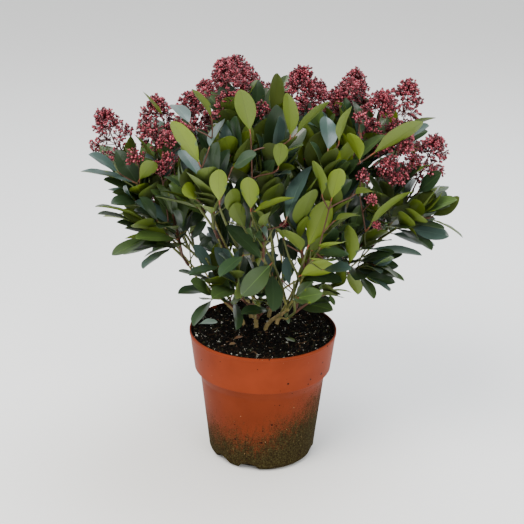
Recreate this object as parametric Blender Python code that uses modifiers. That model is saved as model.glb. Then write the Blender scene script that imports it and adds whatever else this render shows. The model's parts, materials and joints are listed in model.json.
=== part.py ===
"""Potted skimmia: a many-stemmed evergreen shrub in a plastic nursery pot.

Metres, +Z up, +X to the viewer's right and -Y towards the viewer. The origin is the centre of the
pot's flat underside. Azimuths run from +X towards +Y. The shrub is six stems that rise from the
compost, the boughs that fork from them, and one mass of leaf and blossom at the end of each bough.
"""

import math
import random
from collections import namedtuple

import bmesh
import bpy
from mathutils import Matrix, Vector
from mathutils.bvhtree import BVHTree

# Driving sizes of the pot
RIM_RADIUS = 0.095
POT_HEIGHT = 0.174
POT_WALL = 0.0022
POT_FLOOR = 0.0026
LIP_HEIGHT = 0.004
COLLAR_FOOT_RADIUS = 0.0886
COLLAR_FOOT_HEIGHT = 0.1225
BODY_TOP_RADIUS = 0.0808
BODY_TOP_HEIGHT = 0.1095
BODY_FOOT_RADIUS = 0.0702
BODY_CORNER = 0.010
POT_STEPS = 28
DRAIN_COUNT = 8
DRAIN_WIDTH = 0.016
DRAIN_HEIGHT = 0.005
DRAIN_FIRST = math.radians(262)

# Driving sizes of the compost
COMPOST_LEVEL = 0.160
COMPOST_EDGE_LEVEL = 0.164
COMPOST_FLAT_RADIUS = 0.066
GAP = 0.0003

# Driving sizes of the wood
STEM_RADIUS = 0.0047
STEM_FLARE = 1.3
STEM_TAPER = 0.74
BOUGH_RADIUS = 0.0029
BOUGH_TAPER = 0.66
BOUGH_STEPS = 4
LIMB_BEVEL = 1
TWIG_SIDES = 3
MASS_STEM = 0.016
MASS_DEPTH = 0.082
SHOOT_RADIUS = 0.0017
SHOOT_TIP_RADIUS = 0.0013
SHOOT_SPREAD = 0.025

# Driving sizes of the leaves
LEAVES = 9
LEAF_LENGTH = 0.067
LEAF_SLIMNESS = 0.42
LEAF_FOLD = 0.0022
LEAF_ZONE = 0.86
LEAF_STALK = 0.03
LEAF_ROOT_DEPTH = 0.0005
LEAF_STEEP = 26
LEAF_SPREAD = 50
LEAF_RISE = 0.22
GOLDEN_ANGLE = math.radians(137.508)
TRIES = 14

# Driving sizes of the blossom heads
PEDUNCLE = 0.016
HEAD_LENGTH = 0.062
HEAD_LOBES = 8
HEAD_RINGS = ((0.08, 0.021), (0.36, 0.026), (0.66, 0.017), (0.90, 0.010))
HEAD_HOLLOW = 0.52

LEAF_OVERREACH = 0.014
HEAD_OVERREACH = 0.055
TOUCH_MARGIN = 0.0007

Stem = namedtuple("Stem", "name foot_x foot_y tip_x tip_y tip_z")
Bough = namedtuple("Bough", "name parent fork azimuth reach height shoots heads fan")

STEMS = [
    Stem("front_right", 0.004, 0.017, 0.031, -0.020, 0.207),
    Stem("front", -0.009, 0.028, -0.013, 0.010, 0.214),
    Stem("left", -0.027, 0.033, -0.054, 0.030, 0.200),
    Stem("right", 0.019, 0.037, 0.048, 0.032, 0.208),
    Stem("back_left", -0.016, 0.050, -0.030, 0.071, 0.212),
    Stem("back_right", 0.008, 0.056, 0.026, 0.076, 0.212),
]

# Each bough's azimuth, reach and height say where the middle of its shoots' tips lies
BOUGHS = [
    Bough("front_centre", "front_right", 1.00, 263, 0.096, 0.360, 3, 0, 90),
    Bough("front_right", "front_right", 0.88, 299, 0.118, 0.345, 3, 0, 30),
    Bough("front_low_right", "front_right", 0.62, 313, 0.082, 0.270, 3, 0, 60),
    Bough("front_right_high", "front_right", 0.75, 321, 0.096, 0.398, 3, 0, 90),
    Bough("top_left", "front", 1.00, 190, 0.020, 0.447, 3, 2, 109),
    Bough("front_left", "front", 0.86, 226, 0.106, 0.388, 3, 0, 90),
    Bough("front_low_left", "front", 0.62, 232, 0.084, 0.270, 3, 0, 30),
    Bough("front_low", "front", 0.50, 268, 0.066, 0.258, 3, 0, 90),
    Bough("front_top", "front", 0.74, 254, 0.056, 0.422, 3, 0, 90),
    Bough("left_high", "left", 1.00, 181, 0.154, 0.382, 3, 2, 88),
    Bough("left_mid", "left", 0.86, 147, 0.134, 0.322, 2, 1, 15),
    Bough("left_low", "left", 0.72, 192, 0.126, 0.334, 3, 0, 0),
    Bough("right_high", "right", 0.88, 8, 0.132, 0.426, 3, 2, 192),
    Bough("right_mid", "right", 0.76, 349, 0.174, 0.360, 3, 2, 3),
    Bough("right_low", "right", 0.64, 342, 0.128, 0.308, 3, 0, 30),
    Bough("top_right", "right", 1.00, 357, 0.079, 0.432, 3, 2, 22),
    Bough("back_left_high", "back_left", 1.00, 135, 0.132, 0.388, 3, 2, 30),
    Bough("back_left", "back_left", 0.82, 147, 0.160, 0.306, 3, 0, 60),
    Bough("back_low", "back_left", 0.66, 108, 0.112, 0.256, 2, 0, 0),
    Bough("back_high", "back_right", 1.00, 92, 0.082, 0.418, 3, 2, 90),
    Bough("back_right_high", "back_right", 0.88, 46, 0.134, 0.392, 3, 2, 30),
    Bough("back_right", "back_right", 0.64, 36, 0.160, 0.306, 3, 0, 60),
    Bough("back", "back_right", 0.76, 88, 0.154, 0.334, 3, 1, 30),
]


def clear_scene():
    for obj in list(bpy.data.objects):
        bpy.data.objects.remove(obj)


def new_collection(name):
    collection = bpy.data.collections.new(name)
    bpy.context.scene.collection.children.link(collection)
    return collection


def plain_material(name, colour, roughness):
    material = bpy.data.materials.new(name)
    material.use_nodes = True
    shader = material.node_tree.nodes["Principled BSDF"]
    shader.inputs["Base Color"].default_value = (*colour, 1.0)
    shader.inputs["Roughness"].default_value = roughness
    shader.inputs["Metallic"].default_value = 0.0
    material.diffuse_color = (*colour, 1.0)
    return material


def add_object(name, mesh, collection, material=None):
    obj = bpy.data.objects.new(name, mesh)
    collection.objects.link(obj)
    if material:
        obj.data.materials.clear()
        obj.data.materials.append(material)
    return obj


def apply_modifiers(obj):
    """Turns the evaluated object into its own plain mesh."""
    graph = bpy.context.evaluated_depsgraph_get()
    mesh = bpy.data.meshes.new_from_object(obj.evaluated_get(graph))
    obj.modifiers.clear()
    obj.data = mesh


def turned(name, profile, collection, material):
    """A solid turned round Z from a profile that runs down its outer side."""
    mesh = bpy.data.meshes.new(name)
    points = [(radius, 0.0, height) for radius, height in profile]
    mesh.from_pydata(points, [(i, i + 1) for i in range(len(points) - 1)], [])
    obj = add_object(name, mesh, collection, material)
    screw = obj.modifiers.new("Turn", "SCREW")
    screw.steps = POT_STEPS
    screw.render_steps = POT_STEPS
    screw.use_merge_vertices = True
    screw.merge_threshold = 0.00005
    screw.use_smooth_shade = True
    return obj


def outer_wall():
    """The pot's outside from the lip to the underside's middle, as radius and height."""
    corner = [
        (
            BODY_FOOT_RADIUS - BODY_CORNER * (1 - math.cos(angle)),
            BODY_CORNER * (1 - math.sin(angle)),
        )
        for angle in (0.0, math.radians(35), math.radians(65), math.radians(90))
    ]
    return [
        (RIM_RADIUS, POT_HEIGHT),
        (RIM_RADIUS, POT_HEIGHT - LIP_HEIGHT),
        (RIM_RADIUS - 0.0008, POT_HEIGHT - LIP_HEIGHT - 0.001),
        (COLLAR_FOOT_RADIUS, COLLAR_FOOT_HEIGHT),
        (BODY_TOP_RADIUS, BODY_TOP_HEIGHT),
        *corner,
        (0.0, 0.0),
    ]


def inner_wall(clearance=0.0):
    """The pot's inside from the floor's middle to the lip, drawn in by a clearance."""
    shrink = POT_WALL + clearance
    return [
        (0.0, POT_FLOOR + clearance),
        (BODY_FOOT_RADIUS - BODY_CORNER, POT_FLOOR + clearance),
        (BODY_FOOT_RADIUS - shrink, BODY_CORNER + POT_FLOOR),
        (BODY_TOP_RADIUS - shrink, BODY_TOP_HEIGHT + 0.001),
        (COLLAR_FOOT_RADIUS - shrink, COLLAR_FOOT_HEIGHT + 0.001),
        (RIM_RADIUS - shrink, POT_HEIGHT),
    ]


def make_drain_cutters(collection):
    """Blocks that open the drain notches through the pot's bottom corner."""
    for i in range(DRAIN_COUNT):
        angle = DRAIN_FIRST + i * math.tau / DRAIN_COUNT
        bm = bmesh.new()
        bmesh.ops.create_cube(bm, size=1.0)
        size = Vector((0.014, DRAIN_WIDTH, 2 * DRAIN_HEIGHT))
        bmesh.ops.scale(bm, vec=size, verts=bm.verts)
        turn = Matrix.Rotation(angle, 4, "Z")
        shift = Matrix.Translation((BODY_FOOT_RADIUS - 0.002, 0.0, 0.0))
        bm.transform(turn @ shift)
        mesh = bpy.data.meshes.new(f"drain_cutter_{i}")
        bm.to_mesh(mesh)
        bm.free()
        cutter = add_object(f"drain_cutter_{i}", mesh, collection)
        cutter.hide_render = True
        cutter.display_type = "WIRE"


def make_pot(parts, cutters, material):
    pot = turned("pot", inner_wall() + outer_wall(), parts, material)
    make_drain_cutters(cutters)
    cut = pot.modifiers.new("Drain notches", "BOOLEAN")
    cut.operation = "DIFFERENCE"
    cut.operand_type = "COLLECTION"
    cut.collection = cutters
    cut.solver = "EXACT"
    return pot


def height_inside_wall(radius_points, height):
    """The inner wall's radius at a height."""
    for (r0, z0), (r1, z1) in zip(radius_points, radius_points[1:]):
        if z0 < z1 and z0 <= height <= z1:
            return r0 + (r1 - r0) * (height - z0) / (z1 - z0)
    return radius_points[-1][0]


def make_compost(parts, material):
    """The compost that fills the pot, flat where the stems stand and higher at the wall."""
    wall = inner_wall(GAP)
    edge = height_inside_wall(wall, COMPOST_EDGE_LEVEL)
    side = [point for point in wall if 0.0 < point[1] < COMPOST_EDGE_LEVEL]
    top = [
        (0.0, COMPOST_LEVEL),
        (COMPOST_FLAT_RADIUS, COMPOST_LEVEL),
        (0.5 * (COMPOST_FLAT_RADIUS + edge), COMPOST_LEVEL + 0.0028),
        (edge, COMPOST_EDGE_LEVEL),
    ]
    return turned("compost", top + side[::-1], parts, material)


def limb_mesh(name, points, radii):
    """A round tapering limb along points, as a mesh with its end caps welded on."""
    curve = bpy.data.curves.new(name, "CURVE")
    curve.dimensions = "3D"
    curve.bevel_depth = 1.0
    curve.bevel_resolution = LIMB_BEVEL
    curve.use_fill_caps = True
    spline = curve.splines.new("POLY")
    spline.points.add(len(points) - 1)
    for point, place, radius in zip(spline.points, points, radii):
        point.co = (*place, 1.0)
        point.radius = radius
    holder = bpy.data.objects.new(name, curve)
    bpy.context.scene.collection.objects.link(holder)
    graph = bpy.context.evaluated_depsgraph_get()
    mesh = bpy.data.meshes.new_from_object(holder.evaluated_get(graph))
    bpy.data.objects.remove(holder)
    bpy.data.curves.remove(curve)
    bm = bmesh.new()
    bm.from_mesh(mesh)
    bmesh.ops.remove_doubles(bm, verts=bm.verts, dist=0.000001)
    bm.to_mesh(mesh)
    bm.free()
    mesh.shade_smooth()
    mesh.set_sharp_from_angle(angle=math.radians(50))
    return mesh


def grown(points, radii, more):
    """A limb's points and radii made larger all over by a small distance."""
    start = points[0] - (points[1] - points[0]).normalized() * more
    end = points[-1] + (points[-1] - points[-2]).normalized() * more
    return [start, *points[1:-1], end], [radius + more for radius in radii]


def keep_largest_body(mesh):
    """Drops the loose scraps that a cut or a join leaves."""
    bm = bmesh.new()
    bm.from_mesh(mesh)
    left = set(bm.verts)
    bodies = []
    while left:
        body, edge = set(), [next(iter(left))]
        while edge:
            vert = edge.pop()
            if vert in left:
                left.remove(vert)
                body.add(vert)
                edge.extend(e.other_vert(vert) for e in vert.link_edges)
        bodies.append(body)
    biggest = max(bodies, key=len)
    scraps = [vert for body in bodies if body is not biggest for vert in body]
    bmesh.ops.delete(bm, geom=scraps, context="VERTS")
    bm.to_mesh(mesh)
    bm.free()


def cut_away(obj, points, radii):
    """Cuts a limb's neighbour out of it with a thin gap left between them."""
    cutter_mesh = limb_mesh("neighbour", *grown(points, radii, GAP))
    cutter = bpy.data.objects.new("neighbour", cutter_mesh)
    bpy.context.scene.collection.objects.link(cutter)
    cut = obj.modifiers.new("Fork", "BOOLEAN")
    cut.operation = "DIFFERENCE"
    cut.solver = "EXACT"
    cut.object = cutter
    apply_modifiers(obj)
    bpy.data.objects.remove(cutter)
    keep_largest_body(obj.data)


def curve_between(start, start_direction, end, end_direction, steps):
    """Points on a smooth curve that leaves and arrives in the given directions."""
    span = (end - start).length
    out, into = start_direction.normalized() * span, end_direction.normalized() * span
    points = []
    for i in range(steps + 1):
        t = i / steps
        points.append(
            start * (2 * t**3 - 3 * t**2 + 1)
            + out * (t**3 - 2 * t**2 + t)
            + end * (3 * t**2 - 2 * t**3)
            + into * (t**3 - t**2)
        )
    return points


def tapered(first, last, count):
    return [first + (last - first) * i / (count - 1) for i in range(count)]


def along(points, share):
    """The place and the direction at a share of the way along a line of points."""
    at = min(share, 0.9999) * (len(points) - 1)
    i = int(at)
    step = points[i + 1] - points[i]
    return points[i] + step * (at - i), step.normalized()


def stem_line(stem):
    """A stem's points and radii, from its flat foot on the compost to its fork."""
    foot = Vector((stem.foot_x, stem.foot_y, COMPOST_LEVEL + GAP))
    rise = foot + Vector((0.0, 0.0, 0.005))
    tip = Vector((stem.tip_x, stem.tip_y, stem.tip_z))
    lean = (tip - rise).normalized()
    upper = curve_between(rise, lean + Vector((0, 0, 0.6)), tip, lean, 4)
    radii = [STEM_RADIUS * STEM_FLARE, STEM_RADIUS * 1.15]
    radii += tapered(STEM_RADIUS, STEM_RADIUS * STEM_TAPER, 4)
    return [foot, *upper], radii


def crown_point(bough):
    angle = math.radians(bough.azimuth)
    return Vector((bough.reach * math.cos(angle), bough.reach * math.sin(angle), bough.height))


def bough_line(bough, parent_points):
    """A bough's points and radii, from its parent's middle line to its mass."""
    start, parent_direction = along(parent_points, bough.fork)
    middle = crown_point(bough)
    outward = (middle - start).normalized()
    heading = (outward + Vector((0.0, 0.0, 0.35))).normalized()
    tip = middle - heading * MASS_DEPTH
    leaving = (tip - start).normalized() + parent_direction * 0.35
    points = curve_between(start, leaving, tip, heading, BOUGH_STEPS)
    radii = tapered(BOUGH_RADIUS, BOUGH_RADIUS * BOUGH_TAPER, len(points))
    return points, radii


def make_wood(parts, material):
    """The stems and boughs. Gives back each limb's points and radii by name."""
    lines = {stem.name: stem_line(stem) for stem in STEMS}
    limbs = {}
    for stem in STEMS:
        points, radii = lines[stem.name]
        name = f"stem_{stem.name}"
        add_object(name, limb_mesh(name, points, radii), parts, material)
        limbs[name] = (points, radii)
    for bough in BOUGHS:
        points, radii = bough_line(bough, lines[bough.parent][0])
        name = f"bough_{bough.name}"
        obj = add_object(name, limb_mesh(name, points, radii), parts, material)
        cut_away(obj, *lines[bough.parent])
        for other in BOUGHS:
            other_name = f"bough_{other.name}"
            if other.parent == bough.parent and other_name in limbs:
                cut_away(obj, *limbs[other_name])
        limbs[name] = (points, radii)
    return limbs


def tree_of(meshes):
    """One search tree of several meshes, to test shapes against."""
    verts, faces = [], []
    for mesh in meshes:
        first = len(verts)
        if isinstance(mesh, bmesh.types.BMesh):
            mesh.verts.index_update()
            verts += [vert.co.copy() for vert in mesh.verts]
            faces += [[first + vert.index for vert in face.verts] for face in mesh.faces]
        else:
            verts += [vert.co.copy() for vert in mesh.vertices]
            faces += [[first + i for i in face.vertices] for face in mesh.polygons]
    return BVHTree.FromPolygons(verts, faces)


def fixed_tree(limbs, solids):
    """Every limb, a little fattened, and the pot and compost."""
    meshes = [limb_mesh("wide", *grown(p, r, TOUCH_MARGIN)) for p, r in limbs.values()]
    graph = bpy.context.evaluated_depsgraph_get()
    meshes += [bpy.data.meshes.new_from_object(solid.evaluated_get(graph)) for solid in solids]
    return tree_of(meshes)


def distance_to_segment(point, segment):
    start, end = segment
    line = end - start
    share = max(0.0, min(1.0, (point - start).dot(line) / line.length_squared))
    return (point - start - line * share).length


def crosses(bm, trees):
    tree = BVHTree.FromBMesh(bm)
    return any(tree.overlap(other) for other in trees)


class Space:
    """The part of the crown that one mass keeps to.

    It is what lies nearer that mass's middle line than any other's, outside the limbs and
    whatever the other masses have already filled.
    """

    def __init__(self, own, others, taken):
        self.own = own
        self.others = [other for other in others if (other[1] - own[1]).length < 0.26]
        self.taken = taken

    def holds(self, bm, overreach):
        for vert in bm.verts:
            limit = distance_to_segment(vert.co, self.own) - overreach
            if any(distance_to_segment(vert.co, other) < limit for other in self.others):
                return False
        return not crosses(bm, self.taken)


def turn_to(direction):
    return direction.to_track_quat("Z", "Y").to_matrix().to_4x4()


def cone_bmesh(start, end, first_radius, last_radius):
    """A three-sided tapering twig from start to end."""
    bm = bmesh.new()
    length = (end - start).length
    bmesh.ops.create_cone(
        bm,
        cap_ends=True,
        segments=TWIG_SIDES,
        radius1=first_radius,
        radius2=last_radius,
        depth=length,
    )
    middle = Matrix.Translation((start + end) / 2)
    bm.transform(middle @ turn_to(end - start))
    return bm


def leaf_bmesh(root, direction, face_up, length):
    """A leaf blade: an eight-faced ball whose corners are set round the leaf's outline.

    Its edges are lifted from the midrib, so the blade is flat above and keeled beneath.
    """
    bm = bmesh.new()
    bmesh.ops.create_uvsphere(bm, u_segments=4, v_segments=2, radius=1.0)
    side = direction.cross(face_up).normalized()
    corners = {
        (1, 0, 0): (0.0, 0.0),
        (0, 0, -1): (0.40, -0.85),
        (0, 1, 0): (0.40, 0.85),
        (0, -1, 0): (0.76, -0.88),
        (-1, 0, 0): (0.76, 0.88),
        (0, 0, 1): (1.0, 0.0),
    }
    for vert in bm.verts:
        share, swing = corners[tuple(round(value) for value in vert.co)]
        vert.co = (
            root
            + direction * (share * length)
            + side * (swing * length * LEAF_SLIMNESS / 2)
            + face_up * (abs(swing) * LEAF_FOLD)
        )
    bm.normal_update()
    bmesh.ops.recalc_face_normals(bm, faces=bm.faces)
    return bm


def head_bmesh(base, upright, draw):
    """A blossom head: a ball drawn up into a pyramid, its sides pushed in between the lobes."""
    bm = bmesh.new()
    bmesh.ops.create_uvsphere(bm, u_segments=HEAD_LOBES, v_segments=len(HEAD_RINGS) + 1, radius=1.0)
    for vert in bm.verts:
        height = (vert.co.z + 1) / 2
        angle = math.atan2(vert.co.y, vert.co.x)
        if 0.001 < height < 0.999:
            ring = round(math.acos(-vert.co.z) / math.pi * (len(HEAD_RINGS) + 1)) - 1
            lobe = round(angle / math.tau * HEAD_LOBES)
            height, radius = HEAD_RINGS[ring]
            if (ring + lobe) % 2:
                radius *= HEAD_HOLLOW
            radius *= draw.uniform(0.85, 1.12)
            height += draw.uniform(-0.03, 0.03)
            vert.co.x = radius * math.cos(angle)
            vert.co.y = radius * math.sin(angle)
        vert.co.z = height * HEAD_LENGTH
    bmesh.ops.triangulate(bm, faces=bm.faces)
    bm.transform(Matrix.Translation(base) @ turn_to(upright))
    return bm


def across(direction):
    """A level direction across the given one, and the third that makes a set with them."""
    level = Vector((0.0, 0.0, 1.0)).cross(direction)
    if level.length < 0.05:
        level = Vector((1.0, 0.0, 0.0))
    level.normalize()
    return level, direction.cross(level).normalized()


def ring_direction(direction, angle):
    level, rise = across(direction)
    return level * math.cos(angle) + rise * math.sin(angle)


def shoots_of(bough, fork, heading):
    """The root and tip of each shoot of a mass, fanned round its heading."""
    middle = crown_point(bough)
    draw = random.Random(f"{bough.name} shoots")
    for k in range(bough.shoots):
        angle = math.radians(bough.fan) + k * math.tau / bough.shoots + draw.uniform(-0.15, 0.15)
        out = ring_direction(heading, angle) * SHOOT_SPREAD * draw.uniform(0.85, 1.15)
        yield fork, middle + out + heading * draw.uniform(-0.008, 0.008)


def twig_sides(axis):
    """The outward directions of a three-sided twig's faces."""
    turn = turn_to(axis).to_3x3()
    angles = (math.tau * (k + 0.5) / TWIG_SIDES for k in range(TWIG_SIDES))
    return [turn @ Vector((math.sin(angle), math.cos(angle), 0.0)) for angle in angles]


def leaf_candidates(key, i, root, tip):
    """Ways to set leaf i on a shoot, the best first: its root, direction, upper side and length."""
    draw = random.Random(f"{key} {i}")
    axis = (tip - root).normalized()
    sides = twig_sides(axis)
    turn = random.Random(key).uniform(0, math.tau) + i * GOLDEN_ANGLE
    share = 0.98 - LEAF_ZONE * (i / LEAVES) ** 1.15
    inset = (SHOOT_RADIUS + (SHOOT_TIP_RADIUS - SHOOT_RADIUS) * share) / 2 - LEAF_ROOT_DEPTH
    for attempt in range(TRIES):
        out = ring_direction(axis, turn + draw.uniform(-0.3, 0.3) * (1 + attempt))
        steepness = LEAF_STEEP + LEAF_SPREAD * i / LEAVES + draw.uniform(-9, 9)
        tilt = math.radians(steepness - 1.5 * attempt)
        direction = axis * math.cos(tilt) + out * math.sin(tilt)
        direction = (direction + Vector((0.0, 0.0, LEAF_RISE))).normalized()
        face_up = direction.cross(out.cross(direction)).normalized()
        face_up = -face_up if face_up.dot(axis) < 0 else face_up
        length = LEAF_LENGTH * draw.uniform(0.84, 1.12) * (1 - 0.025 * attempt)
        place = root.lerp(tip, share) + max(sides, key=out.dot) * inset
        yield place, direction, face_up, length


def leaf_fits(leaf, place, direction, face_up, length, space, own):
    """True where a leaf stays in its mass's space and its blade crosses nothing of its own mass."""
    if not space.holds(leaf, LEAF_OVERREACH):
        return False
    blade_root = place + direction * (length * LEAF_STALK)
    blade = leaf_bmesh(blade_root, direction, face_up, length * (1 - LEAF_STALK))
    clear = not crosses(blade, own)
    blade.free()
    return clear


def grow_leaves(key, root, tip, space, other_twigs, filled):
    """The leaves of one shoot, spiralling down from its tip. One that doesn't fit is skipped."""
    shapes = []
    for i in range(LEAVES):
        for candidate in leaf_candidates(key, i, root, tip):
            leaf = leaf_bmesh(*candidate)
            if leaf_fits(leaf, *candidate, space, other_twigs + filled):
                shapes.append(leaf)
                filled.append(BVHTree.FromBMesh(leaf))
                break
            leaf.free()
    return shapes


def grow_head(key, tip, axis, space):
    """A blossom head on its stalk, or nothing where there is no room for it."""
    draw = random.Random(f"{key} head")
    upright = (axis + Vector((0.0, 0.0, 0.5))).normalized()
    base = tip + upright * PEDUNCLE
    head = head_bmesh(base, upright, draw)
    root, top = tip - axis * 0.002, base + upright * 0.006
    stalk = cone_bmesh(root, top, SHOOT_TIP_RADIUS * 0.9, SHOOT_TIP_RADIUS * 0.8)
    if all(space.holds(shape, HEAD_OVERREACH) for shape in (head, stalk)):
        return [head, stalk]
    head.free()
    stalk.free()
    return []


def mass_frame(points):
    """Where a mass's stem starts and forks, and its heading, from its bough's points."""
    heading = (points[-1] - points[-2]).normalized()
    start = points[-1] + heading * GAP
    return start, start + heading * MASS_STEM, heading


def grow_twigs(start, fork, heading, shoots):
    """A mass's own stem and its shoots, as shapes."""
    radius = BOUGH_RADIUS * BOUGH_TAPER
    shapes = [cone_bmesh(start, fork + heading * 0.002, radius, SHOOT_RADIUS)]
    for root, tip in shoots:
        axis = (tip - root).normalized()
        shapes.append(cone_bmesh(root - axis * 0.001, tip, SHOOT_RADIUS, SHOOT_TIP_RADIUS))
    return shapes


class Mass:
    """One mass as it grows: its shapes, and the search tree that keeps the others off it."""

    def __init__(self, bough, points):
        self.bough = bough
        start, fork, heading = mass_frame(points)
        self.line = (fork, crown_point(bough))
        self.shoots = list(shoots_of(bough, fork, heading))
        self.shapes = grow_twigs(start, fork, heading, self.shoots)
        self.tree = tree_of(self.shapes)

    def space_among(self, masses, fixed):
        others = [mass for mass in masses if mass is not self]
        return Space(self.line, [mass.line for mass in others], [fixed, *(m.tree for m in others)])

    def grow_heads(self, space):
        for k, (root, tip) in enumerate(self.shoots[: self.bough.heads]):
            axis = (tip - root).normalized()
            self.shapes += grow_head(f"{self.bough.name} {k}", tip, axis, space)
        self.tree = tree_of(self.shapes)

    def grow_leaves(self, space):
        twigs = [tree_of([shape]) for shape in self.shapes[: len(self.shoots) + 1]]
        filled = [tree_of([shape]) for shape in self.shapes if len(shape.faces) > HEAD_LOBES]
        for k, (root, tip) in enumerate(self.shoots):
            other_twigs = twigs[: k + 1] + twigs[k + 2 :]
            key = f"{self.bough.name} {k}"
            self.shapes += grow_leaves(key, root, tip, space, other_twigs, filled)
        self.tree = tree_of(self.shapes)


def join_shapes(name, shapes, parts, material):
    """Fuses a mass's shapes into one solid by a single union."""
    pieces = new_collection(f"{name}_pieces")
    meshes = []
    for i, bm in enumerate(shapes):
        mesh = bpy.data.meshes.new(f"{name}_{i}")
        bm.to_mesh(mesh)
        bm.free()
        meshes.append(mesh)
    obj = add_object(name, meshes[0], parts, material)
    for i, mesh in enumerate(meshes[1:]):
        add_object(f"{name}_piece_{i}", mesh, pieces, material)
    join = obj.modifiers.new("Join", "BOOLEAN")
    join.operation = "UNION"
    join.operand_type = "COLLECTION"
    join.collection = pieces
    join.solver = "MANIFOLD"
    apply_modifiers(obj)
    for piece in list(pieces.objects):
        bpy.data.objects.remove(piece)
    bpy.data.collections.remove(pieces)
    keep_largest_body(obj.data)
    return obj


def make_masses(parts, limbs, fixed, material):
    masses = [Mass(bough, limbs[f"bough_{bough.name}"][0]) for bough in BOUGHS]
    for mass in masses:
        mass.grow_heads(mass.space_among(masses, fixed))
    for mass in masses:
        mass.grow_leaves(mass.space_among(masses, fixed))
        join_shapes(f"mass_{mass.bough.name}", mass.shapes, parts, material)


def main():
    clear_scene()
    parts = new_collection("potted_skimmia")
    cutters = new_collection("cutters")
    terracotta = plain_material("terracotta plastic", (0.42, 0.085, 0.035), 0.55)
    peat = plain_material("peat compost", (0.012, 0.009, 0.007), 0.95)
    bark = plain_material("skimmia bark", (0.22, 0.15, 0.075), 0.8)
    leaf = plain_material("skimmia leaf", (0.045, 0.085, 0.03), 0.4)
    pot = make_pot(parts, cutters, terracotta)
    compost = make_compost(parts, peat)
    limbs = make_wood(parts, bark)
    make_masses(parts, limbs, fixed_tree(limbs, [pot, compost]), leaf)


main()
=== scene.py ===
"""Potted skimmia: the looks of a many-stemmed evergreen shrub in a plastic nursery pot.

Metres, +Z up, +X to the viewer's right and -Y towards the viewer. The shrub grows by the same seeded
rule as its solids: stems, boughs, shoots, leaves and bud heads stand where the solids have them, and
the rule is carried on to finer twigs within the same reach.
"""

import json
import math
import random
from collections import namedtuple
from functools import lru_cache

import bmesh
import bpy
from bpy.props import FloatProperty, FloatVectorProperty, IntProperty, PointerProperty
from mathutils import Matrix, Vector, noise
from mathutils.bvhtree import BVHTree

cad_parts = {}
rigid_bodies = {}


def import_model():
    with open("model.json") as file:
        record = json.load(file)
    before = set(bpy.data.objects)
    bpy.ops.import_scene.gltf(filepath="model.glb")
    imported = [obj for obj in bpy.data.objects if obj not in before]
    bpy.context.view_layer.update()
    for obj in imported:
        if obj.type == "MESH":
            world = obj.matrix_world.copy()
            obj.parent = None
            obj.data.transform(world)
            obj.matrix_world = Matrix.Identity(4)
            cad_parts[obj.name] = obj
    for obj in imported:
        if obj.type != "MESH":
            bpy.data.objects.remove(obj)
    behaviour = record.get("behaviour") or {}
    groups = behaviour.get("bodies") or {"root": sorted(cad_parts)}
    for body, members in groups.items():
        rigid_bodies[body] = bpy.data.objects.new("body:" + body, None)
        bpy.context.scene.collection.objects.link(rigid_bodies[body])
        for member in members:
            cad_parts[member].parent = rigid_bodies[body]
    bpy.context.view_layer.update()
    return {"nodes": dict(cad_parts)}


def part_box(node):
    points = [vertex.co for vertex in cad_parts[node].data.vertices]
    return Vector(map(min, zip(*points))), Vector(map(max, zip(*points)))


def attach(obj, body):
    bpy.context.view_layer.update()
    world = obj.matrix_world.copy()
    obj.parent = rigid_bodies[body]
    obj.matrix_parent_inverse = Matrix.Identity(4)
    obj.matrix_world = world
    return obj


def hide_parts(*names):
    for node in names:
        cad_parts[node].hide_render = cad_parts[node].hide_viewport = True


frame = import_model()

bl_info = {
    "name": "Potted Skimmia",
    "version": (1, 0, 0),
    "blender": (4, 5, 0),
    "location": "View3D > Sidebar > Skimmia",
    "description": "Dresses the solids of a potted skimmia with pot, compost, bark, leaves and bud heads",
    "category": "Add Mesh",
}

MM = 0.001
BODY = "root"
UP = Vector((0.0, 0.0, 1.0))

# Sizes of the pot, as the solids have them
RIM_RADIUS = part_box("pot")[1].x
POT_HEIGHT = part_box("pot")[1].z
POT_WALL = 0.0022
POT_FLOOR = 0.0026
LIP_HEIGHT = 0.004
LIP_ROUND = 0.0011
COLLAR_FOOT_RADIUS = 0.0886
COLLAR_FOOT_HEIGHT = 0.1225
BODY_TOP_RADIUS = 0.0808
BODY_TOP_HEIGHT = 0.1095
BODY_FOOT_RADIUS = 0.0702
BODY_CORNER = 0.010
NOTCH_BEARINGS = (222, 256, 341, 15, 101, 135)
NOTCH_WIDTH = 0.028
NOTCH_HEIGHT = 0.0112
NOTCH_DEPTH = 0.024
COLLAR_LEDGE = 0.0019
POT_STEPS = 128
POT_WELD = 0.00003
POT_SHARP_ANGLE = math.radians(38)

# Sizes of the compost
COMPOST_LEVEL = 0.160
COMPOST_FLAT_RADIUS = 0.066
COMPOST_HEAP = 0.0016
COMPOST_EDGE_RISE = 0.0077
COMPOST_RINGS = 72
COMPOST_SPOKES = 160
GAP = 0.0003

# Sizes of the wood
STEM_RADIUS = 0.0047
STEM_FLARE = 1.3
STEM_TAPER = 0.74
BOUGH_RADIUS = 0.0029
BOUGH_TAPER = 0.66
BOUGH_STEPS = 4
BOUGH_LIFT = 0.35
BOUGH_FOLLOW = 0.35
LIMB_BEVEL = 1
TWIG_SIDES = 3
MASS_STEM = 0.016
MASS_DEPTH = 0.082
SHOOT_RADIUS = 0.0017
SHOOT_TIP_RADIUS = 0.0013
SHOOT_SPREAD = 0.025

# Sizes of the leaves
LEAVES = 9
LEAF_LENGTH = 0.067
LEAF_SLIMNESS = 0.42
LEAF_FOLD = 0.0022
LEAF_ZONE = 0.86
LEAF_STALK = 0.03
LEAF_ROOT_DEPTH = 0.0005
LEAF_STEEP = 26
LEAF_SPREAD = 50
LEAF_RISE = 0.22
GOLDEN_ANGLE = math.radians(137.508)
TRIES = 14

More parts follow.
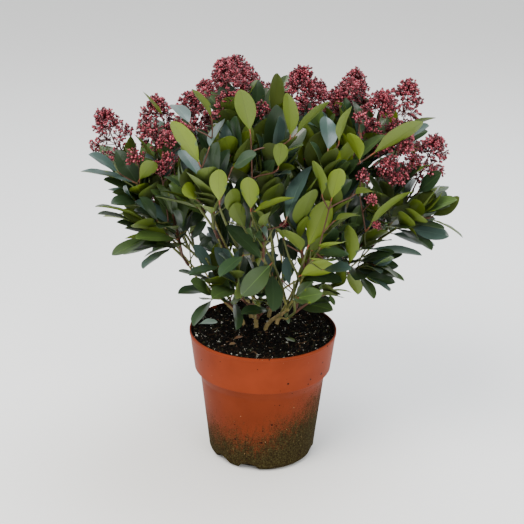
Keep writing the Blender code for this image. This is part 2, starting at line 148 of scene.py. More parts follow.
# Sizes of the bud heads
PEDUNCLE = 0.016
HEAD_LENGTH = 0.062
HEAD_LOBES = 8
HEAD_RINGS = ((0.08, 0.021), (0.36, 0.026), (0.66, 0.017), (0.90, 0.010))
HEAD_HOLLOW = 0.52

# How far leaves and heads may reach into another mass's space, and how far off that one may be
LEAF_OVERREACH = 0.014
HEAD_OVERREACH = 0.055
NEIGHBOUR_REACH = 0.26
TOUCH_MARGIN = 0.0007

# Finer growth than the solids have
SIDE_TWIG_SHARES = (0.30, 0.52, 0.72)
SIDE_TWIG_LENGTH = 0.024
SIDE_TWIG_RADIUS = 0.0010
SIDE_TWIG_LEAVES = 4
SIDE_LEAF_SCALE = 0.74
MORE_LEAF_SCALE = 0.90
LIMB_SLIMNESS = 0.53
UPRIGHT_SPREAD = 20
UPRIGHT_BOUGHS = {
    "front_centre", "front_right", "front_right_high", "front_left", "front_top",
    "top_left", "top_right", "right_high", "left_high",
}
SKIRT_HEIGHT = 0.214
SKIRT_RISE = 0.36

Stem = namedtuple("Stem", "name foot_x foot_y tip_x tip_y tip_z")
Bough = namedtuple("Bough", "name parent fork azimuth reach height shoots heads fan")
Leaf = namedtuple("Leaf", "root direction face_up length")
Twig = namedtuple("Twig", "start end first_radius last_radius")
Head = namedtuple("Head", "root base upright lobes")
Lobe = namedtuple("Lobe", "centre outward radius buds")
Shown = namedtuple("Shown", "tone root tip roll")
ReadLeaf = namedtuple("ReadLeaf", "tone root tip width side lean depth", defaults=(None,))
InnerLeaf = namedtuple("InnerLeaf", "tone root tip depths face_up")

STEMS = [
    Stem("front_right", 0.004, 0.017, 0.031, -0.020, 0.207),
    Stem("front", -0.009, 0.028, -0.013, 0.010, 0.214),
    Stem("left", -0.027, 0.033, -0.054, 0.030, 0.200),
    Stem("right", 0.019, 0.037, 0.048, 0.032, 0.208),
    Stem("back_left", -0.016, 0.050, -0.030, 0.071, 0.212),
    Stem("back_right", 0.008, 0.056, 0.026, 0.076, 0.212),
]

# Each bough's azimuth, reach and height say where the middle of its shoots' tips lies
BOUGHS = [
    Bough("front_centre", "front_right", 1.00, 263, 0.096, 0.360, 3, 0, 90),
    Bough("front_right", "front_right", 0.88, 299, 0.118, 0.345, 3, 0, 30),
    Bough("front_low_right", "front_right", 0.62, 313, 0.082, 0.270, 3, 0, 60),
    Bough("front_right_high", "front_right", 0.75, 321, 0.096, 0.398, 3, 0, 90),
    Bough("top_left", "front", 1.00, 190, 0.020, 0.447, 3, 2, 109),
    Bough("front_left", "front", 0.86, 226, 0.106, 0.388, 3, 0, 90),
    Bough("front_low_left", "front", 0.62, 232, 0.084, 0.270, 3, 0, 30),
    Bough("front_low", "front", 0.50, 268, 0.066, 0.258, 3, 0, 90),
    Bough("front_top", "front", 0.74, 254, 0.056, 0.422, 3, 0, 90),
    Bough("left_high", "left", 1.00, 181, 0.154, 0.382, 3, 2, 88),
    Bough("left_mid", "left", 0.86, 147, 0.134, 0.322, 2, 1, 15),
    Bough("left_low", "left", 0.72, 192, 0.126, 0.334, 3, 0, 0),
    Bough("right_high", "right", 0.88, 8, 0.132, 0.426, 3, 2, 192),
    Bough("right_mid", "right", 0.76, 349, 0.174, 0.360, 3, 2, 3),
    Bough("right_low", "right", 0.64, 342, 0.128, 0.308, 3, 0, 30),
    Bough("top_right", "right", 1.00, 357, 0.079, 0.432, 3, 2, 22),
    Bough("back_left_high", "back_left", 1.00, 135, 0.132, 0.388, 3, 2, 30),
    Bough("back_left", "back_left", 0.82, 147, 0.160, 0.306, 3, 0, 60),
    Bough("back_low", "back_left", 0.66, 108, 0.112, 0.256, 2, 0, 0),
    Bough("back_high", "back_right", 1.00, 92, 0.082, 0.418, 3, 2, 90),
    Bough("back_right_high", "back_right", 0.88, 46, 0.134, 0.392, 3, 2, 30),
    Bough("back_right", "back_right", 0.64, 36, 0.160, 0.306, 3, 0, 60),
    Bough("back", "back_right", 0.76, 88, 0.154, 0.334, 3, 1, 30),
]


# The photograph's view, fitted to the pot's rim, collar and foot, for a picture 524 pixels wide
PHOTO_EYE = Vector((-0.0024, -1.2143, 0.7276))
PHOTO_SIZE = 524
CAMERA_ELEVATION = math.radians(20.92)
CAMERA_ROLL = math.radians(0.77)
CAMERA_LENS = 70.8
SENSOR_WIDTH = 36.0
PHOTO_FOCUS = CAMERA_LENS / SENSOR_WIDTH * PHOTO_SIZE

# The side of a leaf that the photo shows, and where its tip lies, seen from its foot
UPPER, UNDER = 1, -1
NEARER, FURTHER = 1, -1

# Leaves that stand out on the front of the plant, read from the photo. Foot and tip are
# places in the photo in pixels, and a depth is a y in millimetres. A read leaf has the width that
# it shows in pixels, and where it has no depth its foot is just inside the crown's round front. An
# inner leaf has the depths of its foot and tip, and the way it faces is chosen.
SHOWN_LEAVES = [
    ReadLeaf("bright", (219.4, 204.2), (218.2, 168.7), 23, UNDER, NEARER),
    ReadLeaf("fresh", (250.3, 133.9), (240, 89.9), 21, UNDER, NEARER),
    ReadLeaf("bright", (250.5, 211.7), (248, 176.5), 18, UNDER, NEARER, -100),
    ReadLeaf("bright", (200.6, 166), (172, 120.6), 15, UNDER, NEARER),
    ReadLeaf("fresh", (138, 181), (154.5, 161), 17, UNDER, NEARER, -50),
    ReadLeaf("bloomed", (118.8, 173.3), (89, 154), 11, UPPER, NEARER, -30),
    ReadLeaf("bloomed", (137, 184), (81, 169.7), 7, UPPER, NEARER, -30),
    ReadLeaf("dark", (137, 224), (97.5, 214), 5, UPPER, NEARER, -30),
    ReadLeaf("fresh", (164.8, 117), (144.5, 90), 4, UNDER, NEARER, 0),
    ReadLeaf("fresh", (212, 118), (193, 88), 6, UNDER, NEARER),
    ReadLeaf("bloomed", (190, 125), (172.5, 104), 15, UPPER, FURTHER),
    ReadLeaf("bloomed", (208.5, 149), (224, 119), 9, UPPER, FURTHER),
    ReadLeaf("dark", (232, 168), (256, 154), 13, UPPER, NEARER),
    ReadLeaf("bloomed", (200, 178), (181, 150), 15, UPPER, FURTHER),
    ReadLeaf("deep", (158, 222), (141, 197.2), 11, UPPER, NEARER, -70),
    ReadLeaf("fresh", (290.6, 138.4), (287.4, 93.1), 15, UNDER, NEARER),
    ReadLeaf("dark", (294.4, 136.5), (329.5, 101.4), 8, UNDER, NEARER),
    ReadLeaf("bloomed", (327.6, 152.4), (326.3, 116.7), 18, UPPER, FURTHER),
    ReadLeaf("fresh", (338.4, 144.2), (351.2, 105.3), 11, UNDER, NEARER),
    ReadLeaf("dark", (360.8, 137), (353.7, 98.9), 13, UPPER, FURTHER, -60),
    ReadLeaf("bright", (360.1, 162.7), (350, 132.7), 14, UNDER, NEARER, -85),
    ReadLeaf("fresh", (369, 151.2), (420.7, 118), 13, UNDER, NEARER, -50),
    ReadLeaf("bloomed", (399, 142), (429.6, 126.3), 10, UPPER, NEARER, -30),
    ReadLeaf("fresh", (277.9, 169), (281.7, 142.2), 20, UNDER, NEARER),
    ReadLeaf("bright", (331.4, 200.8), (339.7, 167.9), 19, UNDER, NEARER),
    ReadLeaf("bloomed", (285.5, 222.5), (309.7, 163.8), 19, UPPER, FURTHER),
    ReadLeaf("fresh", (322.5, 197), (314.8, 160), 9, UNDER, NEARER),
    ReadLeaf("bright", (306.6, 249.3), (328.9, 200.2), 25, UNDER, NEARER, -100),
    ReadLeaf("bright", (298.3, 275.4), (334, 263.3), 15, UNDER, NEARER, -75),
    ReadLeaf("bloomed", (322, 270), (350.6, 269), 10, UPPER, NEARER),
    ReadLeaf("deep", (300.8, 278.6), (341.6, 281.2), 12, UPPER, NEARER, -65),
    ReadLeaf("fresh", (272.2, 262.7), (241.3, 295.7), 22, UPPER, NEARER, -68),
    ReadLeaf("deep", (272.5, 270), (272.8, 308.6), 18, UPPER, NEARER, -52),
    ReadLeaf("fresh", (349.3, 265.9), (349.3, 224.4), 14, UNDER, NEARER, -85),
    ReadLeaf("deep", (358.9, 262.7), (394.6, 253.1), 10, UPPER, NEARER, -50),
    ReadLeaf("bloomed", (365.9, 249.3), (421.4, 255.7), 9, UPPER, NEARER, -50),
    ReadLeaf("fresh", (348, 272.2), (357.8, 294.6), 14, UNDER, FURTHER, -40),
    ReadLeaf("dark", (417.5, 193.2), (441.1, 172.8), 15, UPPER, NEARER, -30),
    ReadLeaf("fresh", (365.9, 231.4), (411.8, 190.6), 8, UNDER, NEARER, -70),
    ReadLeaf("fresh", (353.8, 195), (372.2, 190.6), 9, UNDER, NEARER),
    ReadLeaf("fresh", (334, 221.2), (359.5, 214.8), 7, UNDER, NEARER),
    ReadLeaf("dark", (311, 251.8), (344.2, 257), 8, UPPER, NEARER, -95),
    ReadLeaf("bloomed", (408, 202), (415.6, 179), 10, UPPER, FURTHER, -30),
    ReadLeaf("fresh", (372.2, 264), (398.4, 277.3), 5, UPPER, NEARER, -40),
    ReadLeaf("dark", (292, 306), (331.4, 300.3), 9, UPPER, NEARER, -15),
    ReadLeaf("dark", (212, 291), (178, 293), 11, UPPER, NEARER, -20),
    ReadLeaf("dark", (220.7, 264.8), (189.8, 273.5), 10, UPPER, NEARER, -40),
    ReadLeaf("dark", (244, 255), (219.6, 275.7), 14, UPPER, NEARER),
    InnerLeaf("deep", (264, 258), (226.6, 221.5), (-85, -75), (0.51, -0.52, 0.67)),
    ReadLeaf("bright", (252, 213), (295, 196), 9, UNDER, NEARER, -100),
    ReadLeaf("fresh", (284.1, 239.9), (272.7, 224.7), 7, UNDER, NEARER, -75),
    ReadLeaf("deep", (235, 294), (237.5, 322.9), 12, UPPER, NEARER, -20),
    ReadLeaf("dark", (212.5, 299), (194, 325.6), 11.2, UPPER, NEARER, -20),
    ReadLeaf("dark", (271, 304), (241.8, 307), 10, UPPER, NEARER, -30),
    InnerLeaf("deep", (283, 236), (270, 207), (-10, -20), (-0.35, -0.8, 0.45)),
    InnerLeaf("dark", (290, 232), (297, 205), (0, -15), (0.3, -0.8, 0.5)),
    InnerLeaf("deep", (268, 240), (255, 214), (5, -10), (-0.25, -0.85, 0.4)),
    InnerLeaf("deep", (280, 216), (286, 190), (10, -5), (0.15, -0.85, 0.5)),
    InnerLeaf("dark", (262, 222), (270, 194), (12, 0), (-0.1, -0.9, 0.4)),
    InnerLeaf("deep", (300, 226), (312, 200), (-5, -20), (0.4, -0.75, 0.5)),
    InnerLeaf("deep", (240, 252), (232, 226), (0, -10), (-0.4, -0.8, 0.4)),
    InnerLeaf("dark", (252, 262), (262, 238), (0, -12), (0.2, -0.9, 0.35)),
    InnerLeaf("deep", (296, 262), (286, 240), (5, -10), (-0.2, -0.85, 0.45)),
    InnerLeaf("deep", (272, 222), (283, 196), (30, 20), (0.2, -0.8, 0.5)),
    InnerLeaf("dark", (283, 240), (292, 214), (30, 20), (0.2, -0.85, 0.45)),
    InnerLeaf("deep", (262, 248), (273, 224), (35, 25), (0.1, -0.85, 0.45)),
    InnerLeaf("deep", (290, 262), (281, 238), (30, 20), (-0.2, -0.85, 0.4)),
    InnerLeaf("dark", (284, 284), (291, 260), (20, 10), (0.2, -0.9, 0.35)),
    InnerLeaf("dark", (190, 240), (207, 222), (0, -10), (-0.3, -0.6, 0.7)),
    InnerLeaf("deep", (196, 250), (212, 238), (10, 0), (-0.2, -0.5, 0.8)),
    InnerLeaf("deep", (188, 228), (205, 210), (10, 0), (-0.3, -0.7, 0.6)),
    InnerLeaf("dark", (214, 252), (200, 232), (20, 10), (-0.4, -0.7, 0.6)),
    InnerLeaf("deep", (300, 250), (312, 232), (20, 10), (0.3, -0.7, 0.6)),
    InnerLeaf("fresh", (284.1, 312.6), (289, 326.5), (-10, -22), (0.3, -0.8, 0.5)),
    InnerLeaf("fresh", (293, 303), (333, 309.5), (-20, -55), (-0.2, -0.45, 0.87)),
    InnerLeaf("fresh", (328.6, 293.8), (334.5, 305.3), (-45, -55), (0.3, -0.7, 0.6)),
]

# Bare young wood that shows in front, as lines of places, each with its depth
SHOWN_TWIGS = [
    [(287.4, 308, -12), (281, 282.2, -35), (272.5, 262, -58), (260.3, 236.6, -82), (250.5, 211.9, -100)],
    [(273.3, 264, -55), (272.2, 244.2, -68), (268.9, 222.5, -78)],
    [(288.5, 307.7, -12), (295, 289.8, -35), (298, 277, -60), (289.5, 258.3, -68), (284.1, 240.2, -75)],
    [(298, 276.5, -60), (303, 262, -83), (306.6, 249.6, -100)],
    [(237.5, 246.4, -60), (228.8, 228, -82), (221.2, 210.8, -97), (219.4, 204.6, -102)],
]

# Smaller bud clusters among the leaves, each with its place, its depth and its size
SHOWN_CLUSTERS = [
    ((171, 149, -34), 1.2),
    ((161, 176, -48), 1.0),
    ((139, 164, -34), 1.0),
    ((172, 169, -44), 1.1),
    ((186, 139.5, -30), 1.1),
    ((154, 139, -22), 1.1),
    ((359, 124.5, -52), 0.8),
    ((360.5, 181.5, -80), 0.8),
    ((284, 227, -85), 0.4),
    ((347, 97, -10), 1.2),
    ((369.5, 203, -85), 0.6),
    ((375, 228.5, -84), 0.5),
    ((392, 185.5, -60), 0.9),
    ((429, 176, -40), 0.8),
    ((382, 173, -60), 1.0),
    ((333, 104, 0), 1.1),
    ((262, 118, -20), 1.0),
]

# The crown's round front: half its width and height, its middle, and how far it stands forward
FRONT_HALF_WIDTH = 0.235
FRONT_HALF_HEIGHT = 0.20
FRONT_MIDDLE = 0.35
FRONT_REACH = 0.148
FRONT_LEAST = 0.06
FRONT_GUESS = -0.08
FOOT_SHARE = 0.80
# A read leaf's shortest and longest length, how far it outdoes the length that shows, the most
# that its tip leans, and its breadth as a share of its length
READ_SHORTEST = 0.060
READ_LONGEST = 0.078
READ_STRETCH = 1.06
READ_LEAN = 0.036
READ_BREADTH = 0.43
ROLL_STEP = 5

# The stalk of a shown leaf, left out of the blade that is tested for room
SHOWN_STALK = 0.006
# First and last radius of the bare young wood and of the fine twigs that lead to a shown leaf
SHOWN_TWIG_RADII = (0.0020, 0.0011)
LINK_TWIG_RADII = (0.00088, 0.00078)
# A fine twig starts at the nearest wood, where wood less than this below the leaf and wood to its
# side count as further off
LINK_DROP = 0.016
LINK_SHORTEST = 0.003
ASIDE_COST = 1.8
ABOVE_COST = 2
# Above this height the fine twigs are red brown
YOUNG_TWIG_HEIGHT = 0.34
# How far a shown leaf without room is moved, towards the viewer or away, in millimetres
SHOWN_SHIFTS = (0.0, -4.0, 4.0, -8.0, 8.0, -13.0, -19.0, -26.0, -34.0)

# Grown leaves stay out of the sight of the shown ones: so far before each, in metres
SIGHT_STEPS = (-0.003, 0.0025, 0.006, 0.011, 0.018, 0.026, 0.035, 0.045, 0.057)


def linear(hex_colour):
    """A linear RGBA colour from an sRGB hex value."""
    channels = (int(hex_colour[i : i + 2], 16) / 255 for i in (1, 3, 5))
    return (*((c / 12.92) if c <= 0.04045 else ((c + 0.055) / 1.055) ** 2.4 for c in channels), 1.0)


# Growth: the rule of the solids

def limb_mesh(name, points, radii):
    """A round tapering limb along points, as a mesh with its end caps welded on."""
    curve = bpy.data.curves.new(name, "CURVE")
    curve.dimensions = "3D"
    curve.bevel_depth = 1.0
    curve.bevel_resolution = LIMB_BEVEL
    curve.use_fill_caps = True
    spline = curve.splines.new("POLY")
    spline.points.add(len(points) - 1)
    for point, place, radius in zip(spline.points, points, radii):
        point.co = (*place, 1.0)
        point.radius = radius
    mesh = evaluated_mesh(put_object(name, curve))
    bpy.data.curves.remove(curve)
    return mesh


def grown(points, radii, more):
    """A limb's points and radii made larger all over by a small distance."""
    start = points[0] - (points[1] - points[0]).normalized() * more
    end = points[-1] + (points[-1] - points[-2]).normalized() * more
    return [start, *points[1:-1], end], [radius + more for radius in radii]


def on_curve(start, out, end, into, t):
    """The place at t on the smooth curve that leaves start along out and reaches end along into."""
    return (
        start * (2 * t**3 - 3 * t**2 + 1)
        + out * (t**3 - 2 * t**2 + t)
        + end * (3 * t**2 - 2 * t**3)
        + into * (t**3 - t**2)
    )


def curve_between(start, start_direction, end, end_direction, steps):
    """Points on a smooth curve that leaves and arrives in the given directions."""
    span = (end - start).length
    out, into = start_direction.normalized() * span, end_direction.normalized() * span
    return [on_curve(start, out, end, into, i / steps) for i in range(steps + 1)]


def tapered(first, last, count):
    return [first + (last - first) * i / (count - 1) for i in range(count)]


def along(points, share):
    """The place and the direction at a share of the way along a line of points."""
    at = min(share, 0.9999) * (len(points) - 1)
    i = int(at)
    step = points[i + 1] - points[i]
    return points[i] + step * (at - i), step.normalized()


def stem_line(stem):
    """A stem's points and radii, from its flat foot on the compost to its fork."""
    foot = Vector((stem.foot_x, stem.foot_y, COMPOST_LEVEL + GAP))
    rise = foot + UP * 0.005
    tip = Vector((stem.tip_x, stem.tip_y, stem.tip_z))
    lean = (tip - rise).normalized()
    upper = curve_between(rise, lean + UP * 0.6, tip, lean, 4)
    radii = [STEM_RADIUS * STEM_FLARE, STEM_RADIUS * 1.15]
    radii += tapered(STEM_RADIUS, STEM_RADIUS * STEM_TAPER, 4)
    return [foot, *upper], radii


def crown_point(bough):
    angle = math.radians(bough.azimuth)
    return Vector((bough.reach * math.cos(angle), bough.reach * math.sin(angle), bough.height))


def bough_line(bough, parent_points):
    """A bough's points and radii, from its parent's middle line to its mass."""
    start, parent_direction = along(parent_points, bough.fork)
    middle = crown_point(bough)
    outward = (middle - start).normalized()
    heading = (outward + UP * BOUGH_LIFT).normalized()
    tip = middle - heading * MASS_DEPTH
    leaving = (tip - start).normalized() + parent_direction * BOUGH_FOLLOW
    points = curve_between(start, leaving, tip, heading, BOUGH_STEPS)
    radii = tapered(BOUGH_RADIUS, BOUGH_RADIUS * BOUGH_TAPER, len(points))
    return points, radii


def limb_lines():
    """Every stem's and bough's points and radii, by the name of its solid."""
    lines = {f"stem_{stem.name}": stem_line(stem) for stem in STEMS}
    for bough in BOUGHS:
        lines[f"bough_{bough.name}"] = bough_line(bough, lines[f"stem_{bough.parent}"][0])
    return lines


def tree_of(meshes):
    """One search tree of several meshes, to test shapes against."""
    verts, faces = [], []
    for mesh in meshes:
        first = len(verts)
        if isinstance(mesh, bmesh.types.BMesh):
            mesh.verts.index_update()
            verts += [vert.co.copy() for vert in mesh.verts]
            faces += [[first + vert.index for vert in face.verts] for face in mesh.faces]
        else:
            verts += [vert.co.copy() for vert in mesh.vertices]
            faces += [[first + i for i in face.vertices] for face in mesh.polygons]
    return BVHTree.FromPolygons(verts, faces)


def distance_to_segment(point, segment):
    start, end = segment
    line = end - start
    share = max(0.0, min(1.0, (point - start).dot(line) / line.length_squared))
    return (point - start - line * share).length


def crosses(bm, trees):
    tree = BVHTree.FromBMesh(bm)
    return any(tree.overlap(other) for other in trees)


class Space:
    """The part of the crown that one mass keeps to: what lies nearer its own middle line than any
    other's, outside the limbs and whatever the other masses have already filled."""

    def __init__(self, own, others, taken):
        self.own = own
        self.others = [line for line in others if (line[1] - own[1]).length < NEIGHBOUR_REACH]
        self.taken = taken

    def holds(self, bm, overreach):
        for vert in bm.verts:
            limit = distance_to_segment(vert.co, self.own) - overreach
            if any(distance_to_segment(vert.co, other) < limit for other in self.others):
                return False
        return not crosses(bm, self.taken)


def turn_to(direction):
    return direction.to_track_quat("Z", "Y").to_matrix().to_4x4()


def cone_bmesh(start, end, first_radius, last_radius):
    """A three-sided tapering twig from start to end."""
    bm = bmesh.new()
    sizes = {"radius1": first_radius, "radius2": last_radius, "depth": (end - start).length}
    bmesh.ops.create_cone(bm, cap_ends=True, segments=TWIG_SIDES, **sizes)
    bm.transform(Matrix.Translation((start + end) / 2) @ turn_to(end - start))
    return bm


def leaf_bmesh(root, direction, face_up, length):
    """The eight-faced blade that the rule tests for room."""
    bm = bmesh.new()
    bmesh.ops.create_uvsphere(bm, u_segments=4, v_segments=2, radius=1.0)
    side = direction.cross(face_up).normalized()
    corners = {
        (1, 0, 0): (0.0, 0.0),
        (0, 0, -1): (0.40, -0.85),
        (0, 1, 0): (0.40, 0.85),
        (0, -1, 0): (0.76, -0.88),
        (-1, 0, 0): (0.76, 0.88),
        (0, 0, 1): (1.0, 0.0),
    }
    for vert in bm.verts:
        share, swing = corners[tuple(round(value) for value in vert.co)]
        vert.co = (
            root
            + direction * (share * length)
            + side * (swing * length * LEAF_SLIMNESS / 2)
            + face_up * (abs(swing) * LEAF_FOLD)
        )
    return bm


def head_bmesh(base, upright, draw):
    """The solid form of a bud head, and the tips of its outstanding lobes with their rings."""
    bm = bmesh.new()
    bmesh.ops.create_uvsphere(bm, u_segments=HEAD_LOBES, v_segments=len(HEAD_RINGS) + 1, radius=1.0)
    tips = []
    for vert in bm.verts:
        height = (vert.co.z + 1) / 2
        angle = math.atan2(vert.co.y, vert.co.x)
        if 0.001 < height < 0.999:
            ring = round(math.acos(-vert.co.z) / math.pi * (len(HEAD_RINGS) + 1)) - 1
            lobe = round(angle / math.tau * HEAD_LOBES)
            height, radius = HEAD_RINGS[ring]
            if (ring + lobe) % 2:
                radius *= HEAD_HOLLOW
            else:
                tips.append((vert, ring))
            radius *= draw.uniform(0.85, 1.12)
            height += draw.uniform(-0.03, 0.03)
            vert.co.x = radius * math.cos(angle)
            vert.co.y = radius * math.sin(angle)
        vert.co.z = height * HEAD_LENGTH
    bmesh.ops.triangulate(bm, faces=bm.faces)
    bm.transform(Matrix.Translation(base) @ turn_to(upright))
    return bm, [(vert.co.copy(), ring) for vert, ring in tips]


def across(direction):
    """A level direction across the given one, and the third that makes a set with them."""
    level = UP.cross(direction)
    if level.length < 0.05:
        level = Vector((1.0, 0.0, 0.0))
    level.normalize()
    return level, direction.cross(level).normalized()


def ring_direction(direction, angle):
    level, rise = across(direction)
    return level * math.cos(angle) + rise * math.sin(angle)


def shoots_of(bough, fork, heading):
    """The root and tip of each shoot of a mass, fanned round its heading."""
    middle = crown_point(bough)
    draw = random.Random(f"{bough.name} shoots")
    for k in range(bough.shoots):
        angle = math.radians(bough.fan) + k * math.tau / bough.shoots + draw.uniform(-0.15, 0.15)
        out = ring_direction(heading, angle) * SHOOT_SPREAD * draw.uniform(0.85, 1.15)
        yield fork, middle + out + heading * draw.uniform(-0.008, 0.008)


def twig_sides(axis):
    """The outward directions of a three-sided twig's faces."""
    turn = turn_to(axis).to_3x3()
    angles = (math.tau * (k + 0.5) / TWIG_SIDES for k in range(TWIG_SIDES))
    return [turn @ Vector((math.sin(angle), math.cos(angle), 0.0)) for angle in angles]


def leaf_candidates(key, i, root, tip, count, scale, spread):
    """Ways to set leaf i on a shoot, the best first."""
    draw = random.Random(f"{key} {i}")
    axis = (tip - root).normalized()
    sides = twig_sides(axis)
    turn = random.Random(key).uniform(0, math.tau) + i * GOLDEN_ANGLE
    share = 0.98 - LEAF_ZONE * (i / count) ** 1.15
    inset = (SHOOT_RADIUS + (SHOOT_TIP_RADIUS - SHOOT_RADIUS) * share) / 2 - LEAF_ROOT_DEPTH
    for attempt in range(TRIES):
        out = ring_direction(axis, turn + draw.uniform(-0.3, 0.3) * (1 + attempt))
        steepness = LEAF_STEEP + spread * i / count + draw.uniform(-9, 9)
        tilt = math.radians(steepness - 1.5 * attempt)
        direction = axis * math.cos(tilt) + out * math.sin(tilt)
        direction = (direction + UP * LEAF_RISE).normalized()
        face_up = direction.cross(out.cross(direction)).normalized()
        face_up = -face_up if face_up.dot(axis) < 0 else face_up
        length = LEAF_LENGTH * draw.uniform(0.84, 1.12) * (1 - 0.025 * attempt) * scale
        place = root.lerp(tip, share) + max(sides, key=out.dot) * inset
        yield Leaf(place, direction, face_up, length)


def leaf_fits(leaf, shape, space, own):
    """True where a leaf stays in its mass's space and its blade crosses nothing of its own mass."""
    tip = leaf.root + leaf.direction * leaf.length
    if tip.z < SKIRT_HEIGHT + SKIRT_RISE * max(0.0, -tip.y):
        return False
    if not space.holds(shape, LEAF_OVERREACH):
        return False
    blade_root = leaf.root + leaf.direction * (leaf.length * LEAF_STALK)
    blade = leaf_bmesh(blade_root, leaf.direction, leaf.face_up, leaf.length * (1 - LEAF_STALK))
    clear = not crosses(blade, own)
    blade.free()
    return clear


def grow_head(key, tip, axis, space):
    """A bud head on its stalk with its solid shapes, or nothing where there is no room for it."""
    draw = random.Random(f"{key} head")
    upright = (axis + UP * 0.5).normalized()
    base = tip + upright * PEDUNCLE
    solid, tips = head_bmesh(base, upright, draw)
    root, top = tip - axis * 0.002, base + upright * 0.006
    stalk = cone_bmesh(root, top, SHOOT_TIP_RADIUS * 0.9, SHOOT_TIP_RADIUS * 0.8)
    if all(space.holds(shape, HEAD_OVERREACH) for shape in (solid, stalk)):
        return Head(root, base, upright, tips), [solid, stalk]
    return None, []


class Mass:
    """One mass as it grows: what stands in it, and the search tree that keeps the others off it."""

    def __init__(self, bough, points):
        self.bough = bough
        self.heading = (points[-1] - points[-2]).normalized()
        start = points[-1] + self.heading * GAP
        fork = start + self.heading * MASS_STEM
        self.line = (fork, crown_point(bough))
        self.shoots = list(shoots_of(bough, fork, self.heading))
        self.twigs = [Twig(start, fork, BOUGH_RADIUS * BOUGH_TAPER, SHOOT_RADIUS)]
        for root, tip in self.shoots:
            axis = (tip - root).normalized()
            self.twigs.append(Twig(root - axis * 0.001, tip, SHOOT_RADIUS, SHOOT_TIP_RADIUS))
        self.shapes = [cone_bmesh(*twig) for twig in self.twigs]
        self.twig_trees = [tree_of([shape]) for shape in self.shapes]
        self.filled = []
        self.leaves = []
        self.heads = []
        self.bare_tips = []
        self.tree = tree_of(self.shapes)

    def space_among(self, masses, fixed):
        others = [mass for mass in masses if mass is not self]
        return Space(self.line, [mass.line for mass in others], [*fixed, *(m.tree for m in others)])

    def grow_heads(self, space):
        for k, (root, tip) in enumerate(self.shoots):
            axis = (tip - root).normalized()
            head, shapes = None, []
            if k < self.bough.heads:
                head, shapes = grow_head(f"{self.bough.name} {k}", tip, axis, space)
            if head:
                self.heads.append(head)
            else:
                self.bare_tips.append((tip, axis))
            self.shapes += shapes
            self.filled += [tree_of([shape]) for shape in shapes[:1]]
        self.tree = tree_of(self.shapes)

    def set_leaves(self, key, root, tip, numbers, count, scale, space, own_twig):
        """Sets leaves on one twig, spiralling down from its tip, and skips one that doesn't fit."""
        twigs = [tree for i, tree in enumerate(self.twig_trees) if i != own_twig]
        spread = UPRIGHT_SPREAD if self.bough.name in UPRIGHT_BOUGHS else LEAF_SPREAD
        for i in numbers:
            for leaf in leaf_candidates(key, i, root, tip, count, scale, spread):
                shape = leaf_bmesh(*leaf)
                if leaf_fits(leaf, shape, space, twigs + self.filled):
                    self.leaves.append(leaf)
                    self.shapes.append(shape)
                    self.filled.append(BVHTree.FromBMesh(shape))
                    break
                shape.free()

    def grow_leaves(self, space):
        for k, (root, tip) in enumerate(self.shoots):
            key = f"{self.bough.name} {k}"
            self.set_leaves(key, root, tip, range(LEAVES), LEAVES, 1.0, space, k + 1)
        self.tree = tree_of(self.shapes)

    def grow_finer(self, space, more_leaves):
        """Side twigs with leaves of their own, and more leaves between the first ones."""
        for k, (root, tip) in enumerate(self.shoots):
            key = f"{self.bough.name} {k} more"
            numbers = range(more_leaves)
            self.set_leaves(key, root, tip, numbers, more_leaves, MORE_LEAF_SCALE, space, k + 1)
            axis = (tip - root).normalized()
            for j, share in enumerate(SIDE_TWIG_SHARES):
                self.grow_side_twig(f"{self.bough.name} {k} side {j}", root, tip, axis, share, space)
        self.tree = tree_of(self.shapes)

    def grow_side_twig(self, key, root, tip, axis, share, space):
        draw = random.Random(key)
        foot = root.lerp(tip, share)
        for _ in range(TRIES):
            out = ring_direction(axis, draw.uniform(0, math.tau))
            direction = (axis * 0.8 + out + UP * 0.3).normalized()
            end = foot + direction * SIDE_TWIG_LENGTH * draw.uniform(0.7, 1.3)
            twig = Twig(foot, end, SIDE_TWIG_RADIUS, SIDE_TWIG_RADIUS * 0.8)
            shape = cone_bmesh(foot + direction * 0.003, end, *twig[2:])
            if space.holds(shape, LEAF_OVERREACH) and not crosses(shape, self.filled):
                self.twigs.append(twig)
                self.shapes.append(shape)
                self.twig_trees.append(tree_of([shape]))
                own = len(self.twig_trees) - 1
                numbers = range(SIDE_TWIG_LEAVES)
                count = SIDE_TWIG_LEAVES
                self.set_leaves(key, foot, end, numbers, count, SIDE_LEAF_SCALE, space, own)
                return
            shape.free()


def sample_line(points, steps=6):
    for start, end in zip(points, points[1:]):
        for i in range(steps):
            yield start.lerp(end, i / steps)


def photo_axes():
    """The photograph's right, up and back directions, with its slight roll."""
    back = Vector((0.0, -math.cos(CAMERA_ELEVATION), math.sin(CAMERA_ELEVATION)))
    right = Vector((1.0, 0.0, 0.0))
    up = back.cross(right)
    turned_right = right * math.cos(CAMERA_ROLL) + up * math.sin(CAMERA_ROLL)
    turned_up = -right * math.sin(CAMERA_ROLL) + up * math.cos(CAMERA_ROLL)
    return turned_right, turned_up, back


def sight_line(place):
    """From the photograph's eye through a place in the photo, one long along the view."""
    right, up, back = photo_axes()
    across_share = (place[0] - PHOTO_SIZE / 2) / PHOTO_FOCUS
    up_share = (PHOTO_SIZE / 2 - place[1]) / PHOTO_FOCUS
    return right * across_share + up * up_share - back


def photo_point(place, depth):
    """The point behind a place in the photo that has this y."""
    sight = sight_line(place)
    return PHOTO_EYE + sight * ((depth - PHOTO_EYE.y) / sight.y)


def whole_mm(point):
    return tuple(round(value / MM) for value in point)


def shown_point(x, y, depth):
    """The point, to the millimetre, of a place in the photo and a depth in millimetres."""
    return Vector(whole_mm(photo_point((x, y), depth * MM))) * MM


